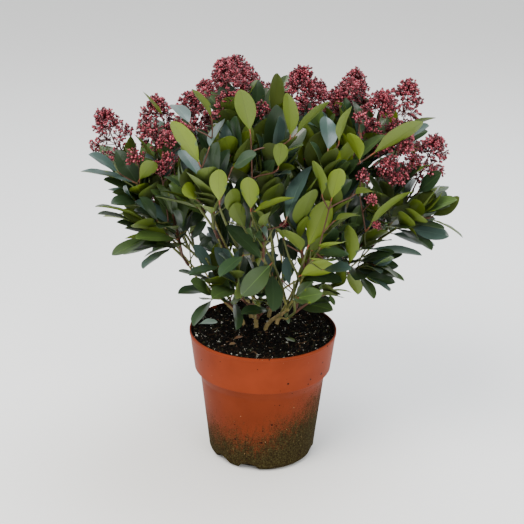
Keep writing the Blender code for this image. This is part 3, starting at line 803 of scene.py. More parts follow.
def crown_front(place):
    """The y of the crown's round front behind a place in the photo."""
    guess = photo_point(place, FRONT_GUESS)
    left = 1 - (guess.x / FRONT_HALF_WIDTH) ** 2 - ((guess.z - FRONT_MIDDLE) / FRONT_HALF_HEIGHT) ** 2
    return -FRONT_REACH * math.sqrt(max(FRONT_LEAST, left))


def leaf_as_read(read):
    """Foot, tip and face of a leaf: the length it shows gives its lean, and the width its turn."""
    depth = crown_front(read.root) * FOOT_SHARE if read.depth is None else read.depth * MM
    foot = photo_point(read.root, depth)
    away = -(foot - PHOTO_EYE).dot(photo_axes()[2])
    flat = math.dist(read.root, read.tip) * away / PHOTO_FOCUS
    length = max(READ_SHORTEST, min(flat * READ_STRETCH, READ_LONGEST))
    lean = min(math.sqrt(max(0.0, length**2 - flat**2)), READ_LEAN) * read.lean
    tip = PHOTO_EYE + sight_line(read.tip) * (away - lean)
    direction = (tip - foot).normalized()
    towards = (PHOTO_EYE - (foot + tip) / 2).normalized()
    flat_on = (towards - direction * towards.dot(direction)).normalized()
    breadth = READ_BREADTH * (tip - foot).length * PHOTO_FOCUS / away
    turn = math.acos(min(1.0, read.width / breadth))
    aside = direction.cross(flat_on) * math.sin(turn)
    faces = [(flat_on * math.cos(turn) + aside * way) * read.side for way in (1, -1)]
    return foot, tip, max(faces, key=lambda face: face.z)


def leaf_as_chosen(inner):
    """Foot, tip and face of a leaf whose depths and facing are chosen."""
    places = zip((inner.root, inner.tip), inner.depths)
    foot, tip = (photo_point(place, depth * MM) for place, depth in places)
    return foot, tip, Vector(inner.face_up)


def shown_leaf(row):
    """A shown leaf to the millimetre, with its roll: at 90 its upper side looks to the sky."""
    foot, tip, face_up = (leaf_as_read if isinstance(row, ReadLeaf) else leaf_as_chosen)(row)
    foot, tip = whole_mm(foot), whole_mm(tip)
    level, rise = across((Vector(tip) - Vector(foot)).normalized())
    roll = math.degrees(math.atan2(face_up.dot(rise), face_up.dot(level)))
    return Shown(row.tone, foot, tip, round(roll / ROLL_STEP) * ROLL_STEP)


def in_sight(shape):
    """Copies of a shape one before the other towards the photograph's eye."""
    corners = [vert.co for vert in shape.verts]
    middle = sum(corners, Vector()) / len(corners)
    towards = (PHOTO_EYE - middle).normalized()
    for reach in SIGHT_STEPS:
        copy = shape.copy()
        copy.transform(Matrix.Translation(towards * reach))
        yield copy


class Front:
    """The leaves, bare twigs and small bud clusters that stand out on the front of the plant."""

    def __init__(self, lines, masses, fixed):
        self.wood = [
            place
            for name, (points, _) in lines.items()
            if name.startswith("bough")
            for place in sample_line(points[1:])
        ]
        self.wood += [place for mass in masses for line in mass.shoots for place in sample_line(line)]
        self.limbs = []
        self.leaves = []
        self.clusters = []
        self.shapes = []
        self.seen = []
        self.kept_off = [fixed, *(mass.tree for mass in masses)]
        for line in SHOWN_TWIGS:
            self.add_limb([shown_point(*place) for place in line])
        for row in SHOWN_LEAVES:
            self.add_leaf(shown_leaf(row))
        for place, size in SHOWN_CLUSTERS:
            self.add_cluster(shown_point(*place), size)
        sights = [copy for shape in self.seen for copy in in_sight(shape)]
        self.tree = tree_of([*self.shapes, *sights])

    def add_limb(self, points):
        shown = len(self.limbs) < len(SHOWN_TWIGS)
        radii = tapered(*(SHOWN_TWIG_RADII if shown else LINK_TWIG_RADII), len(points))
        self.limbs.append((points, radii))
        self.wood += sample_line(points)
        for (start, end), radius in zip(zip(points, points[1:]), radii):
            self.shapes.append(cone_bmesh(start, end, radius, radius))
            if shown:
                self.seen.append(self.shapes[-1])

    def link(self, root, direction):
        """A fine twig to a place from the wood near it, best from below and from behind."""

        def cost(place):
            offset = place - root
            aside = Vector((offset.x, offset.y + min(0.0, offset.y))).length
            above = max(0.0, offset.z + LINK_DROP)
            return offset.length + ASIDE_COST * aside + ABOVE_COST * above

        start = min(self.wood, key=cost)
        span = (root - start).length
        if span < LINK_SHORTEST:
            return
        along = (root - start).normalized()
        leaving = along + Vector((0.0, 0.4, 0.1))
        arriving = along * 0.6 + direction * 0.5 + Vector((0.0, -0.5, 0.6))
        steps = 2 if span < 0.02 else 5
        self.add_limb(curve_between(start, leaving, root, arriving, steps))

    def add_leaf(self, shown):
        for shift in SHOWN_SHIFTS:
            root, tip = (Vector(place) * MM + Vector((0, shift * MM, 0)) for place in shown[1:3])
            direction = (tip - root).normalized()
            face_up = ring_direction(direction, math.radians(shown.roll))
            leaf = Leaf(root, direction, face_up, (tip - root).length)
            foot, length = root + direction * SHOWN_STALK, leaf.length - SHOWN_STALK
            blade = leaf_bmesh(foot, direction, face_up, length)
            if not crosses(blade, self.kept_off):
                self.link(root, direction)
                self.leaves.append((leaf, shown.tone))
                self.shapes.append(blade)
                self.seen.append(blade)
                return
            blade.free()

    def add_cluster(self, place, size):
        upright = Vector((place.x, place.y, 0.25)).normalized()
        self.link(place, upright)
        self.clusters.append((place, upright, size))
        bm = bmesh.new()
        bmesh.ops.create_icosphere(bm, subdivisions=1, radius=0.010 * size)
        bm.transform(Matrix.Translation(place + upright * 0.008 * size))
        self.shapes.append(bm)
        self.seen.append(bm)


@lru_cache(maxsize=1)
def grown_crown(more_leaves):
    """Every mass of the crown and its front, grown once and shared by the pieces made from them."""
    lines = limb_lines()
    wide = [limb_mesh("wide", *grown(p, r, TOUCH_MARGIN)) for p, r in lines.values()]
    fixed = tree_of([*wide, frame["nodes"]["pot"].data, frame["nodes"]["compost"].data])
    for mesh in wide:
        bpy.data.meshes.remove(mesh)
    masses = [Mass(bough, lines[f"bough_{bough.name}"][0]) for bough in BOUGHS]
    for mass in masses:
        mass.grow_heads(mass.space_among(masses, [fixed]))
    front = Front(lines, masses, fixed)
    for mass in masses:
        mass.grow_leaves(mass.space_among(masses, [fixed, front.tree]))
    for mass in masses:
        mass.grow_finer(mass.space_among(masses, [fixed, front.tree]), more_leaves)
    return masses, front


# Shared making of meshes, materials and node trees

MATH = "ShaderNodeMath"
VECTOR_MATH = "ShaderNodeVectorMath"
MIX = "ShaderNodeMix"
RAMP = "ShaderNodeValToRGB"
RANDOM = "FunctionNodeRandomValue"
COMPARE = "FunctionNodeCompare"
ATTRIBUTE = "GeometryNodeInputNamedAttribute"


def feed(tree, node, *values, **named):
    """Sets or links a node's inputs: values by their order and named ones by their names, with an
    underscore for a space. A node given as a value hands on its first output in use."""
    spelled = {name.replace("_", " "): value for name, value in named.items()}
    for socket, value in [*enumerate(values), *spelled.items()]:
        if isinstance(value, bpy.types.Node):
            value = next(output for output in value.outputs if output.enabled)
        if isinstance(value, bpy.types.NodeSocket):
            tree.links.new(value, node.inputs[socket])
        else:
            node.inputs[socket].default_value = value


def add_node(tree, kind, *values, stops=(), **named):
    """Adds a node. Values go to its inputs in order, names with a capital to the inputs of that name
    and other names to its settings. Stops are the places and colours of a colour ramp."""
    node = tree.nodes.new(kind)
    for name, value in named.items():
        if name.islower():
            setattr(node, name, value)
    feed(tree, node, *values, **{name: value for name, value in named.items() if not name.islower()})
    for i, (place, colour) in enumerate(stops):
        elements = node.color_ramp.elements
        element = elements[i] if i < len(elements) else elements.new(place)
        element.position = place
        element.color = linear(colour)
    return node


def finish_material(name, colour, roughness, **sockets):
    """A Principled material with its numbers on the shader's own sockets."""
    material = bpy.data.materials.new(name)
    material.use_nodes = True
    tree = material.node_tree
    shader = tree.nodes["Principled BSDF"]
    feed(tree, shader, Base_Color=colour, Roughness=roughness, **sockets)
    material.diffuse_color = colour
    return material, tree, shader


def plain_finish(name, hex_colour, roughness, **sockets):
    """A material that is one colour all over, for a part too small to show any pattern."""
    return finish_material(name, linear(hex_colour), roughness, **sockets)[0]


def object_noise(tree, scale, detail, roughness=0.55, stretch=(1.0, 1.0, 1.0)):
    """Noise on the object's own coordinates, its scale in cycles a metre."""
    place = add_node(tree, "ShaderNodeTexCoord").outputs["Object"]
    stretched = add_node(tree, "ShaderNodeMapping", Vector=place, Scale=stretch)
    sizes = {"Scale": scale, "Detail": detail, "Roughness": roughness}
    return add_node(tree, "ShaderNodeTexNoise", Vector=stretched, **sizes)


def grained_finish(name, colour, roughness, tone, stops, grain, relief, **sockets):
    """A material whose tones follow one noise and whose fine relief follows another. The relief is
    the strength and the height of the bump."""
    material, tree, shader = finish_material(name, colour, roughness, **sockets)
    tones = add_node(tree, RAMP, object_noise(tree, *tone), stops=stops)
    strength, height = relief
    lumps = object_noise(tree, *grain)
    bump = add_node(tree, "ShaderNodeBump", Height=lumps, Strength=strength, Distance=height)
    feed(tree, shader, Base_Color=tones, Normal=bump)
    return material


def skin(bm, rings):
    """Closes a tube: the faces from each ring of vertices to the next, and a cap at each end."""
    sides = len(rings[0])
    for first, second in zip(rings, rings[1:]):
        for k in range(sides):
            after = (k + 1) % sides
            bm.faces.new((first[k], first[after], second[after], second[k]))
    bm.faces.new(rings[0][::-1])
    bm.faces.new(rings[-1])


def add_turned(bm, start, axis, profile, sides):
    """Adds a small closed form turned round an axis, its profile as (distance, radius)."""
    spokes = [ring_direction(axis, k * math.tau / sides) for k in range(sides)]
    rings = [
        [bm.verts.new(start + axis * distance + spoke * radius) for spoke in spokes]
        for distance, radius in profile
    ]
    skin(bm, rings)


def mesh_from(name, bm, smooth=True):
    """A mesh with what a BMesh holds. The BMesh goes."""
    mesh = bpy.data.meshes.new(name)
    bm.to_mesh(mesh)
    bm.free()
    if smooth:
        mesh.shade_smooth()
    return mesh


def put_object(name, data):
    """A new object in the scene that shows the data."""
    obj = bpy.data.objects.new(name, data)
    bpy.context.scene.collection.objects.link(obj)
    return obj


def add_modifier(obj, kind, **settings):
    modifier = obj.modifiers.new(kind.title(), kind)
    for name, value in settings.items():
        setattr(modifier, name, value)
    return modifier


def add_piece(name, mesh, materials, slot, *nodes):
    """Puts a finished mesh in the scene as a piece that rides with the plant."""
    piece = put_object(name, mesh)
    if materials:
        mesh.materials.clear()
        for material in materials:
            mesh.materials.append(material)
    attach(piece, BODY)
    if nodes:
        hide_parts(*nodes)
    return piece


def evaluated_mesh(obj):
    """A plain mesh of what an object's modifiers make of it. The object goes."""
    graph = bpy.context.evaluated_depsgraph_get()
    mesh = bpy.data.meshes.new_from_object(obj.evaluated_get(graph))
    bpy.data.objects.remove(obj)
    return mesh


def points_mesh(name, attributes, rows):
    """A mesh of loose points. Each row holds a point's place and then the named attributes."""
    places, *columns = zip(*rows)
    mesh = bpy.data.meshes.new(name)
    mesh.from_pydata([tuple(place) for place in places], [], [])
    for attribute, values in zip(attributes, columns):
        kind = {Vector: "FLOAT_VECTOR", float: "FLOAT", int: "INT"}[type(values[0])]
        layer = mesh.attributes.new(attribute, kind, "POINT")
        if kind == "FLOAT_VECTOR":
            layer.data.foreach_set("vector", [x for value in values for x in value])
        else:
            layer.data.foreach_set("value", values)
    return mesh


def new_tree(name, *sockets):
    """A geometry node tree with its named inputs, each as (name, socket kind, default)."""
    tree = bpy.data.node_groups.new(name, "GeometryNodeTree")
    for side in ("INPUT", "OUTPUT"):
        tree.interface.new_socket("Geometry", in_out=side, socket_type="NodeSocketGeometry")
    for title, kind, default in sockets:
        socket = tree.interface.new_socket(title, in_out="INPUT", socket_type=kind)
        if default is not None:
            socket.default_value = default
    return tree, add_node(tree, "NodeGroupInput"), add_node(tree, "NodeGroupOutput")


def grown_by_nodes(name, mesh, tree, inputs):
    """The plain mesh that a node tree makes from a mesh, its inputs given by their names."""
    holder = put_object(name, mesh)
    modifier = add_modifier(holder, "NODES", node_group=tree)
    for socket in tree.interface.items_tree:
        if socket.in_out == "INPUT" and socket.name in inputs:
            modifier[socket.identifier] = inputs[socket.name]
    result = evaluated_mesh(holder)
    bpy.data.meshes.remove(mesh)
    kept = {"material_index", "sharp_face", "sharp_edge"}
    for attribute in list(result.attributes):
        if not (attribute.is_required or attribute.is_internal or attribute.name in kept):
            result.attributes.remove(attribute)
    slots = [0] * len(result.polygons)
    result.polygons.foreach_get("material_index", slots)
    # The nodes' own primitives leave an empty first slot
    if result.materials[0] is None:
        result.materials.pop(index=0)
        result.polygons.foreach_set("material_index", [slot - 1 for slot in slots])
    return result


# Pot

def turned_solid(name, profile, steps):
    """A closed solid turned round Z from a profile that runs down its outer side."""
    mesh = bpy.data.meshes.new(name)
    places = [(radius, 0.0, height) for radius, height in profile]
    mesh.from_pydata(places, [(i, i + 1) for i in range(len(profile) - 1)], [])
    solid = put_object(name, mesh)
    welded = {"use_merge_vertices": True, "merge_threshold": POT_WELD}
    add_modifier(solid, "SCREW", steps=steps, render_steps=steps, use_smooth_shade=True, **welded)
    return solid


def arc(centre, radius, first, last, steps):
    """Profile points round a centre, its angles in degrees from the outward side."""
    for i in range(steps + 1):
        angle = math.radians(first + (last - first) * i / steps)
        yield (centre[0] + radius * math.cos(angle), centre[1] + radius * math.sin(angle))


def pot_profile():
    """The pot's wall from the middle of its floor inside, over the lip, to its underside."""
    inside = [
        (0.0, POT_FLOOR),
        (BODY_FOOT_RADIUS - BODY_CORNER, POT_FLOOR),
        (BODY_FOOT_RADIUS - POT_WALL - 0.003, POT_FLOOR * 2),
        (BODY_FOOT_RADIUS - POT_WALL, BODY_CORNER + POT_FLOOR),
        (BODY_TOP_RADIUS - POT_WALL, BODY_TOP_HEIGHT + 0.001),
        (COLLAR_FOOT_RADIUS - POT_WALL, COLLAR_FOOT_HEIGHT + 0.001),
        (RIM_RADIUS - POT_WALL, POT_HEIGHT - LIP_ROUND),
    ]
    rim = list(arc((RIM_RADIUS - LIP_ROUND, POT_HEIGHT - LIP_ROUND), LIP_ROUND, 180, 0, 8))[1:]
    outside = [
        (RIM_RADIUS, POT_HEIGHT - LIP_HEIGHT),
        (RIM_RADIUS - 0.0005, POT_HEIGHT - LIP_HEIGHT - 0.0004),
        (RIM_RADIUS - 0.0008, POT_HEIGHT - LIP_HEIGHT - 0.0012),
        (COLLAR_FOOT_RADIUS + 0.0003, COLLAR_FOOT_HEIGHT + 0.002),
        (COLLAR_FOOT_RADIUS + 0.0001, COLLAR_FOOT_HEIGHT + 0.0004),
        (COLLAR_FOOT_RADIUS - 0.0003, COLLAR_FOOT_HEIGHT),
        (COLLAR_FOOT_RADIUS - COLLAR_LEDGE, COLLAR_FOOT_HEIGHT + 0.0002),
        (BODY_TOP_RADIUS + 0.0020, BODY_TOP_HEIGHT + 0.0042),
        (BODY_TOP_RADIUS + 0.0006, BODY_TOP_HEIGHT + 0.0012),
        (BODY_TOP_RADIUS, BODY_TOP_HEIGHT - 0.0015),
    ]
    corner = arc((BODY_FOOT_RADIUS - BODY_CORNER, BODY_CORNER), BODY_CORNER, 0, -90, 10)
    foot_ring = [(0.052, 0.0), (0.0512, 0.0007), (0.020, 0.0007), (0.0193, 0.0), (0.0, 0.0)]
    return inside + rim + outside + list(corner) + foot_ring


def drain_cutter():
    """The rounded notches that the drain cuts through the pot's bottom corner, as one mesh."""
    bm = bmesh.new()
    half = NOTCH_WIDTH / 2
    lie = Matrix.Rotation(math.pi / 2, 4, "Y")
    flat = Matrix.Diagonal((1.0, 1.0, NOTCH_HEIGHT / half, 1.0))
    shift = Matrix.Translation((BODY_FOOT_RADIUS - 0.002, 0.0, 0.0))
    for bearing in NOTCH_BEARINGS:
        turn = Matrix.Rotation(math.radians(bearing), 4, "Z")
        sizes = {"radius1": half, "radius2": half, "depth": NOTCH_DEPTH}
        made = bmesh.ops.create_cone(bm, cap_ends=True, segments=24, **sizes)
        bmesh.ops.transform(bm, matrix=turn @ shift @ flat @ lie, verts=made["verts"])
    return mesh_from("drain_cutter", bm, smooth=False)


def specks(tree, place, scale, size, power):
    """Round specks of uneven size, one at most in each cell, as a mask."""
    cells = add_node(tree, "ShaderNodeTexVoronoi", feature="F1", Vector=place, Scale=scale)
    reach = add_node(tree, MATH, cells.outputs["Color"], power, operation="POWER")
    reach = add_node(tree, MATH, reach, size, operation="MULTIPLY")
    return add_node(tree, MATH, cells.outputs["Distance"], reach, operation="LESS_THAN")


def shaded_and_dulled_below_collar(tree, height, base):
    """The plastic's colour below the collar: a painted shadow line darkest along its edge, and the body
    darker, partly dirt and partly painted shade.
    """
    below = add_node(tree, MATH, COLLAR_FOOT_HEIGHT, height, operation="SUBTRACT")
    edge = add_node(tree, MATH, below, 2500.0, operation="MULTIPLY", use_clamp=True)
    dirt_and_shade = add_node(tree, MATH, below, 22.0, operation="MULTIPLY", use_clamp=True)
    # Painted shadow line right under the collar's edge, fading over about two millimetres into a fainter
    # painted shade
    shade = add_node(tree, MATH, below, -450.0, 1.0, operation="MULTIPLY_ADD", use_clamp=True)
    shade = add_node(tree, MATH, shade, 0.62, 0.28, operation="MULTIPLY_ADD")
    shade = add_node(tree, MATH, edge, shade, operation="MULTIPLY")
    dirt_and_shade = add_node(tree, MATH, dirt_and_shade, 0.18, shade, operation="MULTIPLY_ADD")
    return add_node(tree, MIX, data_type="RGBA", Factor=dirt_and_shade, A=base, B=linear("#4a200f"))


def shaded_inner_side(tree, place, base):
    """The plastic's colour with painted shade on the inner side, above the compost, broken into patches.
    """
    x, y, z = place.outputs
    around = add_node(tree, MATH, x, x, operation="MULTIPLY")
    around = add_node(tree, MATH, y, y, around, operation="MULTIPLY_ADD")
    around = add_node(tree, MATH, around, operation="SQRT")
    flare = (RIM_RADIUS - COLLAR_FOOT_RADIUS) / (POT_HEIGHT - COLLAR_FOOT_HEIGHT)
    wall = add_node(tree, MATH, z, -flare, around, operation="MULTIPLY_ADD")
    inner_side = RIM_RADIUS - flare * POT_HEIGHT - POT_WALL * 0.75
    inside = add_node(tree, MATH, wall, inner_side, operation="LESS_THAN")
    above = add_node(tree, MATH, z, COLLAR_FOOT_HEIGHT + POT_WALL, operation="GREATER_THAN")
    inside = add_node(tree, MATH, inside, above, operation="MULTIPLY")
    # A noise breaks the painted shade into patches
    peat = add_node(tree, MATH, object_noise(tree, 90.0, 5.0, 0.7), 0.40, operation="GREATER_THAN")
    peat = add_node(tree, MATH, peat, 0.5, 0.4, operation="MULTIPLY_ADD")
    inner_shade = add_node(tree, MATH, inside, peat, operation="MULTIPLY")
    return add_node(tree, MIX, data_type="RGBA", Factor=inner_shade, A=base, B=linear("#170c06"))


def algae_film(tree, place, algae_height, grains):
    """The mask of the algae: higher to the right and at both sides, and broken by patches, by streaks
    and by grains a millimetre wide."""
    x, _, z = place.outputs
    level = add_node(tree, MATH, x, 0.30, algae_height, operation="MULTIPLY_ADD")
    side = add_node(tree, MATH, x, operation="ABSOLUTE")
    side = add_node(tree, MATH, side, 0.26, operation="MULTIPLY")
    level = add_node(tree, MATH, level, side, operation="ADD")
    rise = add_node(tree, MATH, level, z, operation="SUBTRACT")
    film = add_node(tree, MATH, rise, 24.0, 0.16, operation="MULTIPLY_ADD")
    patches = object_noise(tree, 36.0, 5.0, 0.62)
    streaks = object_noise(tree, 260.0, 3.0, 0.6, (1.0, 1.0, 0.28))
    for pattern, strength in ((patches, 1.1), (streaks, 1.3), (grains, 3.0)):
        swing = add_node(tree, MATH, pattern, strength, -strength / 2, operation="MULTIPLY_ADD")
        film = add_node(tree, MATH, film, swing, operation="ADD", use_clamp=pattern is grains)
    under = add_node(tree, MATH, z, COLLAR_FOOT_HEIGHT, operation="LESS_THAN")
    film = add_node(tree, MATH, film, under, operation="MULTIPLY")
    return add_node(tree, MATH, film, 0.95, operation="MULTIPLY")


def terracotta_plastic(look):
    """Moulded polypropylene in a terracotta colour: an even satin skin, slightly clouded, weathered
    by a film of green algae from the foot upwards, with specks of soil splashed on it."""
    name = "terracotta polypropylene"
    material, tree, shader = finish_material(name, look.pot_colour, 0.5, Specular_IOR_Level=0.04)
    spot = add_node(tree, "ShaderNodeTexCoord").outputs["Object"]
    place = add_node(tree, "ShaderNodeSeparateXYZ", spot)
    # Faint clouding of the plastic, a few centimetres across
    cloud = object_noise(tree, 28.0, 4.0)
    colour = add_node(tree, RAMP, cloud, stops=[(0.30, "#6c2b15"), (0.70, "#783119")])
    # Painted shadow under the collar, and painted shade with some dirt on the body below it
    colour = shaded_and_dulled_below_collar(tree, place.outputs["Z"], colour)
    # Painted shade on the inner side above the compost
    colour = shaded_inner_side(tree, place, colour)
    # The algae are near black in their thick parts and olive where they are thin and dry
    grains = object_noise(tree, 780.0, 2.0, 0.6)
    film = algae_film(tree, place, look.algae_height, grains)
    greens = [(0.30, "#0f0d08"), (0.47, "#201f0f"), (0.60, "#33311a"), (0.76, "#5c5a3a")]
    algae = add_node(tree, RAMP, object_noise(tree, 520.0, 3.0, 0.7), stops=greens)
    colour = add_node(tree, MIX, data_type="RGBA", Factor=film, A=colour, B=algae)
    # Splashed soil specks and pale lime dots
    for sizes, tone in (((120.0, 0.30, 3.2), "#1c0f08"), ((190.0, 0.16, 6.0), "#a08058")):
        mask = specks(tree, spot, *sizes)
        colour = add_node(tree, MIX, data_type="RGBA", Factor=mask, A=colour, B=linear(tone))
    rough = add_node(tree, "ShaderNodeMapRange", film, To_Min=0.48, To_Max=0.92)
    bump = add_node(tree, "ShaderNodeBump", Height=grains, Strength=0.25, Distance=0.0004)
    feed(tree, shader, Base_Color=colour, Roughness=rough, Normal=bump)
    return material


class SKIMMIA_OT_pot(bpy.types.Operator):
    """Make the nursery pot with its rolled lip, collar and drain notches"""

    bl_idname = "skimmia.pot"
    bl_label = "Pot"

    def execute(self, context):
        pot = turned_solid("pot_form", pot_profile(), POT_STEPS)
        cutter = put_object("drain_cutter", drain_cutter())
        add_modifier(pot, "BOOLEAN", operation="DIFFERENCE", solver="EXACT", object=cutter)
        mesh = evaluated_mesh(pot)
        mesh.name = "nursery_pot"
        bpy.data.objects.remove(cutter)
        mesh.set_sharp_from_angle(angle=POT_SHARP_ANGLE)
        look = context.scene.skimmia_pot
        add_piece("nursery_pot", mesh, [terracotta_plastic(look)], "terracotta_plastic", "pot")
        return {"FINISHED"}


# Compost

FIBRE_REACH = 0.074
DULL = {"Specular_IOR_Level": 0.12}
SCATTER_INPUTS = ("Count a square metre", "Smallest", "Largest", "Seed")


def compost_height(x, y):
    """The height of the compost's crumbly top at a place."""
    radius = math.hypot(x, y)
    edge = RIM_RADIUS - POT_WALL - GAP
    swell = max(0.0, radius - 0.6 * COMPOST_FLAT_RADIUS) / (edge - 0.6 * COMPOST_FLAT_RADIUS)
    level = COMPOST_LEVEL + COMPOST_HEAP + (COMPOST_EDGE_RISE + 0.042 * y) * swell
    broad = noise.fractal(Vector((x, y, 0.3)) * 45.0, 1.0, 2.0, 3) * 0.0016
    fine = noise.fractal(Vector((x, y, 2.7)) * 420.0, 0.9, 2.1, 3) * 0.0011
    settle = min(1.0, max(0.0, (edge - radius) / 0.006))
    return level - 0.0008 + (broad + fine) * (0.35 + 0.65 * settle)


def compost_mesh(rings, spokes):
    """The compost as a closed plug: a crumbly top over plain sides that the pot hides."""
    bm = bmesh.new()

    def ring(radius, height=None):
        """A ring of vertices, on the crumbly top unless it has a height of its own."""
        loop = []
        for k in range(spokes):
            angle = k * math.tau / spokes
            x, y = radius * math.cos(angle), radius * math.sin(angle)
            loop.append(bm.verts.new((x, y, compost_height(x, y) if height is None else height)))
        return loop

    edge = COLLAR_FOOT_RADIUS + (RIM_RADIUS - COLLAR_FOOT_RADIUS) * 0.78 - POT_WALL - GAP
    centre = bm.verts.new((0.0, 0.0, compost_height(0.0, 0.0)))
    loops = [ring(edge * (i / rings) ** 0.85) for i in range(1, rings + 1)]
    loops += [
        ring(COLLAR_FOOT_RADIUS - POT_WALL - 0.0008, COLLAR_FOOT_HEIGHT + 0.002),
        ring(BODY_TOP_RADIUS - POT_WALL - 0.0008, BODY_TOP_HEIGHT),
        ring(BODY_FOOT_RADIUS - POT_WALL - 0.0012, BODY_CORNER + 0.004),
        ring(BODY_FOOT_RADIUS - BODY_CORNER, POT_FLOOR + 0.0006),
    ]
    for k in range(spokes):
        after = (k + 1) % spokes
        bm.faces.new((centre, loops[0][k], loops[0][after]))
        for inner, outer in zip(loops, loops[1:]):
            bm.faces.new((inner[k], outer[k], outer[after], inner[after]))
    bm.faces.new(loops[-1][::-1])
    bmesh.ops.recalc_face_normals(bm, faces=bm.faces)
    return mesh_from("compost_top", bm)


def moist_peat(look):
    """Moist peat compost: nearly black crumbs with a brown cast, dull, with a damp glint."""
    crumbs = (700.0, 5.0, 0.7)
    tones = [(0.35, "#040302"), (0.58, "#0d0906"), (0.75, "#1d150d")]
    relief = (0.9, 0.0012)
    return grained_finish("moist peat", look.peat_colour, 0.85, crumbs, tones, crumbs, relief, **DULL)


def scatter_tree(name, make_shape, material, upright):
    """A tree that strews small shapes over the compost's top, turned and sized at random."""
    kinds = ("NodeSocketFloat", "NodeSocketFloat", "NodeSocketFloat", "NodeSocketInt")
    tree, given, result = new_tree(name, *zip(SCATTER_INPUTS, kinds, (1000.0, 0.001, 0.002, 1)))
    count, smallest, largest, seed = (given.outputs[title] for title in SCATTER_INPUTS)
    # Only the top is strewn, not the sides or the underside
    place = add_node(tree, "ShaderNodeSeparateXYZ", add_node(tree, "GeometryNodeInputPosition"))
    limit = COMPOST_LEVEL - 0.006
    high = add_node(tree, COMPARE, place.outputs["Z"], limit, operation="GREATER_THAN")
    normal = add_node(tree, "GeometryNodeInputNormal")
    level = add_node(tree, VECTOR_MATH, normal, (0.0, 0.0, 1.0), operation="DOT_PRODUCT")
    facing = add_node(tree, COMPARE, level, 0.3, operation="GREATER_THAN")
    top = add_node(tree, "FunctionNodeBooleanMath", high, facing, operation="AND")
    chosen = {"Selection": top, "Density": count, "Seed": seed}
    strewn = add_node(tree, "GeometryNodeDistributePointsOnFaces", given, **chosen)
    low_turn = (-0.25, -0.25, 0.0) if upright else (0.0, 0.0, 0.0)
    high_turn = (0.25, 0.25, math.tau) if upright else (math.tau, math.tau, math.tau)
    turn = add_node(tree, RANDOM, data_type="FLOAT_VECTOR", Min=low_turn, Max=high_turn, Seed=seed)
    size = add_node(tree, RANDOM, data_type="FLOAT", Min=smallest, Max=largest, Seed=seed)
    held = {"Instance": make_shape(tree), "Rotation": turn, "Scale": size}
    placed = add_node(tree, "GeometryNodeInstanceOnPoints", strewn, **held)
    real = add_node(tree, "GeometryNodeRealizeInstances", placed)
    # A noise over the whole bed makes every shape lumpy
    rough = add_node(tree, "ShaderNodeTexNoise", Scale=900.0, Detail=1.0).outputs["Color"]
    centred = add_node(tree, VECTOR_MATH, rough, (0.5, 0.5, 0.5), operation="SUBTRACT")
    lumps = add_node(tree, VECTOR_MATH, centred, Scale=0.0042, operation="SCALE")
    moved = add_node(tree, "GeometryNodeSetPosition", real, Offset=lumps)
    feed(tree, result, add_node(tree, "GeometryNodeSetMaterial", moved, Material=material))
    return tree


def crumb_shape(tree):
    return add_node(tree, "GeometryNodeMeshIcoSphere", Radius=0.5, Subdivisions=1)


def grain_shape(tree):
    return add_node(tree, "GeometryNodeMeshIcoSphere", Radius=0.5, Subdivisions=2)


def fibre_shape(tree):
    """A thin splinter of bark or root, ten times as long as it is thick."""
    sizes = {"Radius_Top": 0.03, "Radius_Bottom": 0.055, "Depth": 1.0}
    rod = add_node(tree, "GeometryNodeMeshCone", Vertices=5, Side_Segments=4, **sizes)
    lying = {"Rotation": (0.0, math.pi / 2, 0.0), "Translation": (-0.5, 0.0, 0.0)}
    return add_node(tree, "GeometryNodeTransform", rod, **lying)


def inner_bed(top):
    """The compost without its outermost ring, so that no long fibre reaches the pot's wall."""
    bm = bmesh.new()
    bm.from_mesh(top)
    edge = [vert for vert in bm.verts if math.hypot(vert.co.x, vert.co.y) > FIBRE_REACH]
    bmesh.ops.delete(bm, geom=edge, context="VERTS")
    return mesh_from("inner_bed", bm, smooth=False)


class SKIMMIA_OT_compost(bpy.types.Operator):
    """Make the compost with its crumbs, perlite grains and fibres"""

    bl_idname = "skimmia.compost"
    bl_label = "Compost"

    def execute(self, context):
        look = context.scene.skimmia_compost
        peat = moist_peat(look)
        top = compost_mesh(COMPOST_RINGS, COMPOST_SPOKES)
        add_piece("compost_bed", top, [peat], "peat_compost", "compost")
        crumb = plain_finish("dark peat crumb", "#090604", 0.9, **DULL)
        brown = plain_finish("brown bark crumb", "#271a10", 0.9, **DULL)
        pale = plain_finish("perlite grain", "#b9b7ab", 0.8)
        moss = plain_finish("grey green moss", "#3c402a", 0.9, **DULL)
        straw = plain_finish("root fibre", "#5c432a", 0.8)
        # Each kind's count a square metre, its smallest and largest size and its seed
        for name, shape, material, upright, *values in (
            ("peat_crumbs", crumb_shape, crumb, False, look.crumbs, 0.0012, 0.0040, 3),
            ("bark_crumbs", crumb_shape, brown, False, look.crumbs * 0.22, 0.0012, 0.0034, 5),
            ("perlite_grains", crumb_shape, pale, False, look.perlite, 0.0005, 0.0015, 7),
            ("large_perlite", grain_shape, pale, False, look.perlite * 0.022, 0.0018, 0.0038, 17),
            ("moss_flecks", crumb_shape, moss, False, look.perlite * 1.1, 0.0007, 0.0022, 11),
            ("root_fibres", fibre_shape, straw, True, look.fibres, 0.004, 0.013, 13),
        ):
            tree = scatter_tree(name, shape, material, upright)
            bed = inner_bed(top) if upright else top.copy()
            mesh = grown_by_nodes(name, bed, tree, dict(zip(SCATTER_INPUTS, values)))
            add_piece(name, mesh, [], "peat_compost")
        return {"FINISHED"}


# Wood

STEM_SUNK = 0.004
LIMB_RING_SPACING = 0.0018
SCAR_START = 0.004
SCAR_SPACING = (0.007, 0.016)
SCAR_WIDTH = 0.0008
SCAR_LIFT = 0.10


